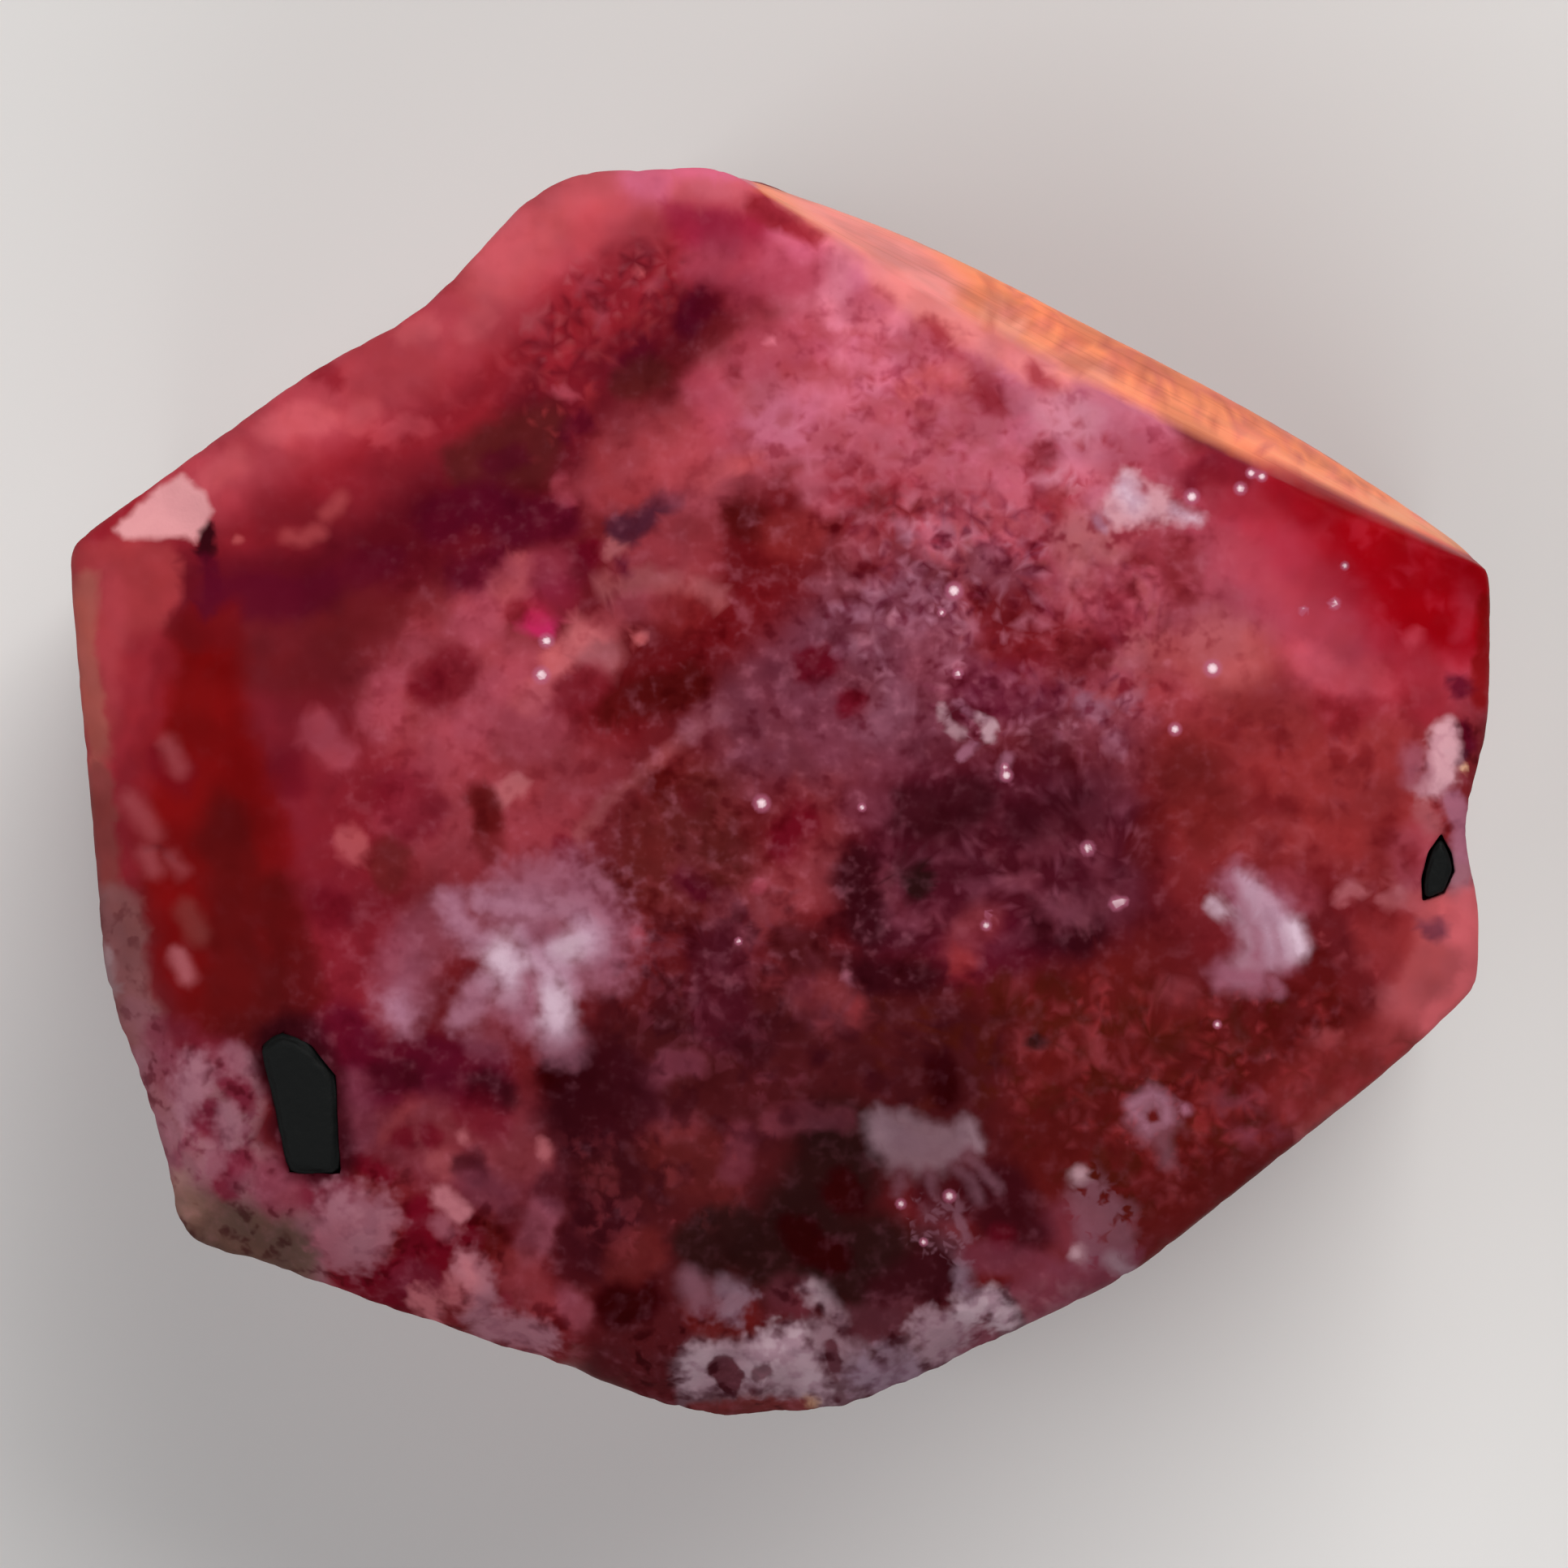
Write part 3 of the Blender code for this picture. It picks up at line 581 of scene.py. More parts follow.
EAST = (
    *blots(Tint.GARNET, (0.6, 8, 20, "1470,590 1500,572 1530,580")),
    *blots(Tint.ROSE_VEIL, (0.4, 7, 14, "1806,730 1806,750 1796,776")),
    *blots(Tint.AMBER_SPECK, (0.95, 3, 5, "1804,950")),
    *blots(Tint.WINE, (0.45, 22, 34, "1210,848 1272,850"), (0.5, 18, 34, "1314,1136 1180,1184")),
    *blots(Tint.ROSE_DUST, (0.6, 18, 28, "1690,1138 1712,1130"), (0.5, 20, 30, "1500,1376 1520,1380"),
        (0.45, 14, 24, "1536,1382 1554,1384"), (0.4, 14, 24, "1480,1262 1496,1268")),
    *blots(Tint.FLECK_PALE, (0.8, 16, 24, "1340,650 1375,668"), (0.6, 14, 24, "1400,800 1420,806"),
        (0.6, 12, 20, "1310,664 1330,700")),
    *blots(Tint.SALMON_CLOUD, (1, 30, 34, "1486,792 1500,808 1526,806"),
        (0.5, 12, 22, "1440,800 1470,806")),
    *blots(Tint.ROSE_CLOUD, (0.7, 18, 26, "1742,1040 1750,1090"), (0.7, 14, 22, "1400,655 1420,662"),
        (0.6, 18, 26, "1362,720 1366,756"), (0.45, 26, 44, "1510,700 1560,750 1630,790"),
        (0.8, 3, 5, "1464,710 1474,724 1484,742"), (0.8, 3, 5, "1500,710 1514,722 1530,736"),
        (0.7, 4, 6, "1548,760 1552,772"), (0.75, 20, 22, "1465,770 1500,790")),
    *blots(Tint.CARMINE, (0.7, 18, 30, "1650,870 1700,840 1746,826 1752,860"),
        (0.5, 14, 26, "1500,600 1560,616")),
    *blots(Tint.GEM, (0.6, 16, 26, "1780,704 1806,708"), (0.55, 18, 28, "1590,600 1616,622")),
    *blots(Tint.STREAK_ROSE, (0.65, 8, 26, "1600,812 1632,830 1660,842"),
        (0.5, 8, 22, "1684,826 1700,842"), (0.5, 5, 10, "1735,790 1742,782")),
    *blots(Tint.WINE, (0.8, 9, 9, "1793,842 1800,850"), (0.9, 9, 9, "1800,895 1806,915")),
    *blots(Tint.SLATE, (0.9, 6, 7, "1794,925 1798,938")),
    *blots(Tint.CRUST_PINK, (0.9, 14, 18, "1794,1066 1796,1104")),
    *blots(Tint.GEM_RED, (0.8, 8, 10, "1832,740 1828,800 1822,860")),
    patch("clay grain", Tint.FLECK, 30, "1440,980 1560,1000 1760,1040 1740,1180 1660,1250 1600,1110 "
        "1470,1060", 0.4, 20, 0.22),
    *blots(Tint.ROSE_BROWN, (0.8, 11, 14, "1440,1218 1460,1228"), (0.7, 5, 9, "1352,1310 1345,1275")),
    *blots(Tint.SALMON_CLOUD, (0.5, 20, 34, "1494,800 1516,806")),
    *blots(Tint.CLAY, (0.5, 30, 40, "1450,840 1540,830")),
    patch("clay grain", Tint.OXBLOOD, 50, "1480,860 1740,860 1760,1100 1640,1160 1560,1040", 0.5, 46, 0.3),
    *blots(Tint.BROWN, (0.6, 20, 50, "1466,955 1485,1005")),
    patch("knob", Tint.KNOB, 24, "1765,1095 1880,1100 1880,1240 1790,1340 1710,1320 1690,1285 1712,1200 "
        "1742,1140", 0.95),
    *blots(Tint.SALMON_PALE, (0.8, 12, 20, "1786,1128 1800,1148"),
        (0.8, 8, 18, "1812,1110 1818,1190 1800,1225 1765,1262")),
    *blots(Tint.FLECK_PALE, (0.8, 9, 11, "1655,1108 1668,1100"), (0.8, 9, 11, "1712,1105 1722,1098")),
    *blots(Tint.SALMON_CLOUD, (0.55, 18, 26, "1492,790 1520,808")),
    *blots(Tint.MAUVE, (0.95, 9, 10, "1762,1138 1770,1146")),
    *blots(Tint.ROSE_DUST, (0.6, 12, 18, "1702,1190 1715,1170"),
        (0.6, 7, 16, "1740,1300 1680,1330 1640,1362")),
    *blots(Tint.KNOB, (0.8, 10, 12, "1745,1108 1758,1120")),
    *blots(Tint.OXBLOOD, (0.6, 10, 14, "1676,1122 1706,1132"), (0.6, 20, 30, "1300,800 1326,806")),
    patch("rose rim", Tint.MAUVE, 26, "1490,1345 1590,1340 1605,1400 1530,1415", 0.75, 22, 0.7),
    *blots(Tint.GREY_ROSE, (0.8, 6, 10, "1600,1395 1630,1368 1650,1350")),
    *blots(Tint.CLAY, (0.6, 16, 24, "1694,1150 1716,1156")),
    *blots(Tint.GEM_SHADE, (0.5, 14, 20, "1420,1010 1410,1050"),
        (0.8, 13, 18, "1622,1190 1640,1240 1600,1235")),
    *blots(Tint.FLECK, (0.5, 8, 12, "1708,1220 1712,1235"), (0.75, 7, 8, "1622,1281 1646,1277")),
    patch("brown grain", Tint.ROSE_BROWN, 40, "1240,1200 1480,1210 1640,1220 1740,1280 1560,1420 1380,1530 "
        "1290,1400 1200,1330", 0.5, 22, 0.3),
    patch("brown grain", Tint.PEAT, 40, "1080,1190 1300,1190 1480,1230 1640,1220 1740,1290 1560,1420 "
        "1400,1500 1200,1400 1060,1330", 0.75, 36, 0.35),
    patch("red grain", Tint.GEM_SHADE, 40, "1480,1210 1660,1210 1700,1290 1560,1440 1440,1500 "
        "1400,1400", 0.6, 30, 0.4),
    *blots(Tint.SOOT_RED, (0.85, 24, 32, "1300,1136 1330,1140"), (0.8, 8, 10, "1005,1303"),
        (0.6, 12, 12, "1082,1332")),
    *blots(Tint.MAUVE, (0.7, 18, 28, "1312,1512 1330,1526")),
    *blots(Tint.CLAY, (0.6, 20, 40, "1700,1290 1650,1316 1600,1350")),
    patch("rose frost", Tint.ROSE_DUST, 60, "1300,1200 1640,1220 1700,1290 1500,1440 "
        "1320,1400", 0.4, 12, 0.2),
    *blots(Tint.NIGHT, (0.85, 6, 8, "1275,1282")),
    *blots(Tint.BLOOD_BLACK, (0.8, 12, 16, "1158,1315 1166,1345")),
)

POOL = (
    patch("pool frost", Tint.LILAC, 60, "1100,940 1300,930 1420,980 1400,1100 1240,1170 "
        "1090,1150", 0.4, 12, 0.16),
    patch("pool haze", Tint.MAUVE, 50, "1080,930 1380,920 1400,1100 1250,1170 1080,1160", 0.6, 34, 0.32),
    *blots(Tint.SOOT_RED, (0.8, 18, 26, "1110,1003 1150,1000 1195,985"),
        (0.85, 18, 24, "1058,1075 1070,1135"), (0.85, 13, 20, "1070,1203 1140,1206"),
        (0.4, 14, 24, "1260,1010 1340,1000")),
    *blots(Tint.NIGHT, (0.85, 10, 11, "1126,1078 1132,1092")),
    *blots(Tint.MAUVE, (0.7, 14, 22, "1058,992 1074,1000"), (0.5, 14, 22, "1358,1112 1374,1118"),
        (0.45, 14, 22, "1358,962 1374,968"), (0.7, 8, 16, "1095,1080 1100,1120 1130,1135")),
    *blots(Tint.ROSE_BROWN, (0.6, 14, 22, "1190,1165 1198,1148 1212,1135")),
    *blots(Tint.CLAY, (0.6, 8, 12, "1182,1190 1190,1175")),
    *blots(Tint.MAUVE_PALE, (0.4, 5, 10, "1200,1090 1250,1085"), (0.4, 8, 14, "1300,1110 1330,1130")),
)

SOUTH = (
    *blots(Tint.NIGHT, (0.95, 32, 50, "1035,1415 1020,1470 960,1545 1060,1560"),
        (0.8, 24, 40, "1090,1545 1140,1570"), (0.9, 28, 24, "868,1535 895,1522")),
    *blots(Tint.BLOOD_BLACK, (0.9, 13, 14, "1035,1462 1045,1482"),
        (0.9, 16, 14, "985,1520 998,1540 1028,1550"), (0.9, 20, 22, "765,1612 785,1605"),
        (0.9, 18, 24, "690,1330 722,1318")),
    patch("red foot", Tint.DUSK, 22, "730,1655 790,1640 835,1660 860,1760 700,1720", 0.8),
    *blots(Tint.MAUVE, (0.8, 9, 16, "800,1335 825,1306 858,1312"),
        (0.7, 9, 16, "800,1370 828,1395 850,1392"), (0.4, 14, 20, "964,1592 984,1600")),
    *blots(Tint.SOOT_RED, (0.7, 26, 32, "1105,1600 1155,1570"),
        (0.85, 28, 36, "745,1330 705,1385 770,1370"), (0.7, 24, 32, "715,1545 750,1515"),
        (0.8, 24, 34, "1225,1470 1255,1520"), (0.6, 20, 28, "1160,1476 1180,1470")),
    *blots(Tint.RUSSET, (0.6, 18, 22, "770,1560 790,1545"), (0.6, 26, 36, "840,1425 872,1445")),
    *blots(Tint.GARNET, (0.6, 10, 18, "1235,1525")),
    *blots(Tint.MAUVE, (0.6, 10, 20, "912,1400 905,1440"), (0.6, 10, 16, "955,1385 985,1378 1040,1382"),
        (0.75, 11, 18, "1205,1548 1285,1562")),
    patch("pink foot", Tint.MAUVE, 18, "1235,1585 1330,1545 1420,1530 1340,1660 1230,1680", 0.9),
    patch("pink foot", Tint.CRUST_ROSE, 26, "1240,1600 1310,1570 1360,1600 1240,1680", 0.6, 20),
    patch("dusk grain", Tint.ROSE_BROWN, 40, "690,1400 880,1400 960,1380 900,1500 760,1560 "
        "690,1500", 0.4, 26, 0.3),
    patch("dusk grain", Tint.MAUVE, 40, "740,1160 960,1110 1060,1260 960,1380 780,1290", 0.4, 22, 0.28),
    patch("dusk grain", Tint.SOOT_RED, 40, "680,1260 1240,1240 1240,1400 900,1420 700,1560", 0.5, 40, 0.3),
)

SHELF = (
    patch("north-west slope", Tint.CARMINE, 30, "40,700 110,620 215,560 300,490 400,420 500,370 600,260 "
        "700,160 860,130 960,200 1010,290 930,330 860,385 780,450 700,520 600,610 500,670 400,710 300,730 "
        "250,740 225,690"),
    patch("lower slope", Tint.CRIMSON, 60, "330,640 480,580 560,570 540,640 440,690", 0.6),
    # the salmon and pale salmon bands along the rim stand partly for painted light, where the shelf faces
    # the light
    *blots(Tint.SALMON, (0.85, 36, 64, "240,585 330,520 430,464 500,426 570,374 630,320 700,276 800,240"),
        (0.8, 22, 40, "700,310 740,282 790,268")),
    *blots(Tint.SALMON_PALE, (0.6, 18, 46, "600,335 650,285 700,250 780,226"),
        (0.6, 11, 20, "335,530 366,518 394,514"), (0.5, 10, 20, "290,572 262,590"),
        (0.4, 10, 18, "437,522 450,512"), (0.5, 8, 16, "505,410 530,405"),
        (0.4, 8, 16, "575,410 600,390")),
    *blots(Tint.PINK, (0.95, 24, 36, "800,216 850,210 900,226")),
    *blots(Tint.ROSE_VEIL, (0.9, 20, 34, "870,318 910,322 950,330 985,330")),
    *blots(Tint.PINK, (0.6, 12, 26, "900,305 945,303 990,300"), (0.7, 12, 24, "960,270 1000,280")),
    *blots(Tint.MAGENTA_RED, (0.9, 17, 26, "842,272 880,280 915,292"), (0.5, 6, 14, "915,252 935,266")),
    *blots(Tint.SALMON_PALE, (0.7, 10, 20, "846,240 890,242 920,246")),
    *blots(Tint.CARMINE, (0.9, 8, 12, "935,256 960,270 1002,290"), (0.8, 9, 12, "393,456 412,464"),
        (0.6, 18, 34, "700,384 760,338 800,312")),
    *blots(Tint.SALMON, (0.6, 14, 34, "730,282 790,274")),
    patch("slope grain", Tint.PLUM, 30, "640,420 700,350 790,300 850,320 830,380 740,450 "
        "660,480", 0.55, 16, 0.4),
    # partly painted light on the lit slope
    patch("slope glow", Tint.SALMON, 30, "440,520 540,480 640,400 760,310 800,330 720,430 600,500 "
        "480,570", 0.35, 20, 0.28),
    patch("slope dust", Tint.FLECK_PALE, 30, "600,430 680,340 790,290 860,310 840,380 760,460 "
        "680,520", 0.4, 11, 0.22),
    *blots(Tint.SALMON, (0.7, 8, 10, "468,538 482,532"), (0.7, 8, 10, "500,520 518,528")),
    *blots(Tint.PLUM, (1, 24, 54, "258,728 320,732 400,716 470,690 530,650 600,610 650,565 670,530"),
        (0.6, 14, 44, "690,520 750,465 800,425 860,385 900,356")),
    *blots(Tint.BRICK, (0.8, 34, 46, "310,792 380,800 440,776")),
    patch("valley olive", Tint.OLIVE, 30, "545,560 600,520 680,490 700,520 680,600 620,600 560,600", 0.85),
    *blots(Tint.WINE, (0.85, 16, 26, "540,640 590,620 640,645 690,640"), (0.6, 8, 14, "610,575 640,560"),
        (0.7, 14, 24, "290,735 350,738 400,728"), (0.5, 14, 20, "445,705 475,690"),
        (0.9, 13, 18, "850,392 865,372"), (0.7, 9, 14, "770,455 795,435"), (0.6, 8, 12, "700,530 722,522"),
        (0.4, 18, 28, "680,708 700,700")),
    *blots(Tint.OLIVE, (0.8, 15, 18, "778,474 800,462")),
    *blots(Tint.PLUM, (0.4, 10, 24, "880,362 915,356")),
    *blots(Tint.ROSE_VEIL, (0.7, 14, 30, "884,320 930,322 960,340"), (0.4, 14, 26, "920,372")),
    patch("valley grain", Tint.ROSE_DUST, 26, "640,470 720,400 800,330 850,360 790,430 740,480 700,560 "
        "660,560", 0.5, 13, 0.28),
    *blots(Tint.SALMON_PALE, (0.8, 4, 8, "789,338")),
    *blots(Tint.ROSE_CLOUD, (0.8, 5, 8, "688,480 702,490"), (0.7, 5, 8, "742,395"),
        (0.6, 6, 10, "690,600 700,615"), (0.5, 5, 8, "730,350"), (0.5, 4, 8, "812,350")),
)

WEST = (
    patch("corner facet", Tint.ROSE_DUST, 18, "40,690 130,663 210,668 228,690 218,745 198,790 180,850 "
        "160,910 130,975 40,975"),
    *blots(Tint.SALMON, (0.35, 10, 26, "130,720 140,800 150,860")),
    *blots(Tint.STRAP, (0.95, 9, 12, "102,720 106,800 110,880 122,935")),
    patch("gem band", Tint.GEM_RED, 42, "205,800 235,752 285,745 300,830 315,930 330,1040 315,1240 "
        "240,1280 195,1190 175,1080 170,950"),
    *blots(Tint.CARMINE, (0.7, 16, 30, "185,810 168,900 150,985 150,1060")),
    *blots(Tint.STRAP_LOW, (0.85, 10, 14, "118,960 128,1030 134,1090")),
    # painted shadow in the notch near the north-west corner
    *blots(Tint.SOOT_RED, (0.95, 7, 8, "255,652 257,676")),
    *blots(Tint.GEM_SHADE, (0.7, 26, 50, "290,1030 300,1100 300,1200 280,1250")),
    *blots(Tint.OXBLOOD, (0.8, 14, 20, "236,778 275,772"), (0.8, 2, 5, "178,1050 196,1046 212,1062")),
    *blots(Tint.GEM_RED, (0.6, 14, 24, "300,930 330,1010 345,1080 345,1160")),
    *blots(Tint.GEM_SHADE, (0.7, 16, 26, "345,1100 360,1180 370,1245")),
    *blots(Tint.CRIMSON, (0.6, 12, 22, "365,960 385,1040 380,1100")),
    *blots(Tint.GARNET, (0.55, 22, 30, "490,984 508,1000"), (0.5, 14, 22, "200,940 214,956"),
        (0.5, 12, 20, "350,945 362,965"), (0.5, 12, 20, "400,1115 412,1128")),
    *blots(Tint.ASH_ROSE, (0.95, 22, 18, "138,1120 148,1180 155,1230 180,1290 198,1330")),
    *blots(Tint.ASH, (0.8, 5, 10, "122,1180 132,1225")),
    *blots(Tint.CRUST_ROSE, (0.6, 10, 16, "165,1245 185,1295")),
    *blots(Tint.WINE, (0.85, 7, 12, "258,690 262,716 256,748")),
)

SOUTH_WEST = (
    *blots(Tint.ROSE_BROWN, (0.8, 5, 12, "470,1400 488,1376 520,1354 560,1346 596,1360"),
        (0.45, 20, 30, "520,1405 560,1392 645,1410"), (0.6, 16, 22, "620,1440 650,1430")),
    *blots(Tint.GREY_ROSE, (0.45, 10, 18, "538,1432 556,1442")),
    *blots(Tint.WINE, (0.6, 20, 28, "440,1322 460,1334"),
        (0.85, 24, 34, "420,1280 450,1320 540,1312 590,1325")),
    *blots(Tint.SOOT_RED, (0.8, 13, 20, "600,1342 615,1350"), (0.5, 11, 18, "470,1330 500,1325"),
        (0.7, 10, 14, "578,1438 586,1452")),
    *blots(Tint.MAUVE, (0.8, 16, 22, "430,1340 432,1400")),
    *blots(Tint.GARNET, (0.7, 8, 12, "530,1402"), (0.7, 9, 12, "492,1404"),
        (0.95, 22, 18, "526,1504 524,1550 490,1584 450,1590"), (0.9, 8, 8, "622,1606"),
        (0.8, 6, 10, "440,1432 472,1452"), (0.8, 14, 16, "420,1590 470,1612"),
        (0.5, 16, 24, "586,1370 604,1382")),
    *blots(Tint.GEM_SHADE, (0.95, 12, 12, "580,1522 608,1530 620,1548")),
    *blots(Tint.MAUVE_PALE, (0.7, 14, 16, "672,1500 650,1545"), (0.5, 10, 20, "700,1606 712,1622")),
    *blots(Tint.ROSE_BROWN, (0.6, 20, 26, "640,1570 650,1600")),
    patch("west crust", Tint.CRUST_ROSE, 15, "150,1300 205,1292 250,1296 285,1282 312,1300 322,1340 "
        "322,1400 350,1442 400,1452 400,1600 300,1640 150,1560"),
    patch("west crust shade", Tint.MAUVE, 20, "200,1300 320,1300 330,1450 300,1480 "
        "200,1480", 0.8, 20, 0.32),
    *blots(Tint.CRUST_OLIVE, (0.95, 28, 30, "225,1510 290,1526 345,1560 330,1600")),
    *blots(Tint.STRAP_BEIGE, (0.7, 12, 20, "212,1462 226,1486")),
    *blots(Tint.GARNET_DUST, (0.6, 20, 30, "340,1462 390,1462"), (0.95, 10, 12, "250,1368 260,1392"),
        (0.95, 9, 12, "284,1342 296,1354"), (0.95, 9, 12, "266,1436 286,1440 298,1432"),
        (0.9, 7, 10, "270,1450 274,1470"), (0.6, 16, 22, "200,1276 222,1284"),
        (0.4, 14, 20, "204,1326 220,1336"), (0.6, 14, 20, "262,1298 280,1302"),
        (0.7, 14, 18, "504,1576 518,1584"), (0.9, 20, 24, "396,1464 410,1480")),
    *blots(Tint.GARNET, (0.8, 20, 24, "534,1514 556,1528")),
    *blots(Tint.MAUVE, (0.7, 16, 22, "584,1466 606,1478")),
    *blots(Tint.SOOT_RED, (0.45, 18, 24, "684,1466 700,1478"), (0.35, 16, 24, "636,1516 650,1526"),
        # the row below is painted shade: the stone darkens towards the long black grain and round it
        (0.9, 34, 30, "356,1296 376,1350 388,1412")),
)

SOUTH_CRUST = (
    patch("south crust ground", Tint.CRUST_SHADE, 14, "826,1680 870,1630 930,1640 1000,1620 1040,1640 "
        "1100,1654 1160,1626 1190,1590 1245,1590 1270,1640 1200,1760 1000,1800 840,1800"),
    *blots(Tint.PIT, (0.95, 15, 7, "888,1694 898,1700"), (0.8, 9, 12, "1025,1650 1032,1690"),
        (0.8, 14, 16, "1055,1625 1090,1640"), (0.8, 13, 16, "1116,1622 1134,1628")),
    *blots(Tint.BROWN, (0.9, 18, 22, "872,1620 906,1626")),
    *blots(Tint.RUSSET, (0.8, 7, 12, "860,1740 920,1738 990,1738")),
    *blots(Tint.MAUVE, (0.6, 12, 16, "1195,1650 1215,1640")),
)

# The upper part of the north-east wall as the chart shows it: orange that is partly the wall's own colour
# and partly painted glow of the warm light falling on and through that side, with a painted highlight along
# its inner edge at the rim.
EDGE_STRIP = (
    patch("orange strip", Tint.ORANGE, 6, "922,215 1010,235 1110,270 1210,305 1310,350 1410,390 1520,450 "
        "1620,510 1720,575 1830,650 1860,712 1830,694 1790,676 1750,656 1700,634 1650,610 1600,588 "
        "1550,566 1500,543 1450,520 1400,495 1300,450 1224,412 1183,390 1140,362 1100,337 1040,301 "
        "1005,281 935,236"),
    patch("strip north end", Tint.APRICOT, 40, "940,220 1030,250 1140,300 1190,350 1170,390 1100,346 "
        "1010,286", 0.9),
    *blots(Tint.APRICOT, (0.7, 8, 16, "1080,334 1130,366 1200,404")),
    # painted highlights: a thin bright line along the rim and two bright streaks on the wall
    *blots(Tint.ORANGE_HIGHLIGHT,
        (0.35, 4, 7, "1240,408 1300,438 1400,483 1500,531 1600,576 1700,621 1790,662"),
        (0.9, 9, 12, "1225,384 1252,400"), (0.7, 9, 14, "1316,448 1352,462")),
    *blots(Tint.ORANGE_SHADE, (0.4, 4, 12, "1185,362 1215,372 1262,390"),
        (0.3, 3, 9, "1290,392 1380,434 1460,476"), (0.3, 3, 9, "1480,476 1560,520 1640,570")),
    patch("strip grain", Tint.ORANGE_SHADE, 12, "1180,330 1400,410 1640,540 1760,640 1600,580 1400,490 "
        "1200,400", 0.55, 9, 0.34),
    patch("strip blush", Tint.SALMON_PALE, 16, "1230,330 1400,400 1600,510 1760,620 1760,650 1600,580 "
        "1400,490 1220,400", 0.35, 20, 0.35),
)

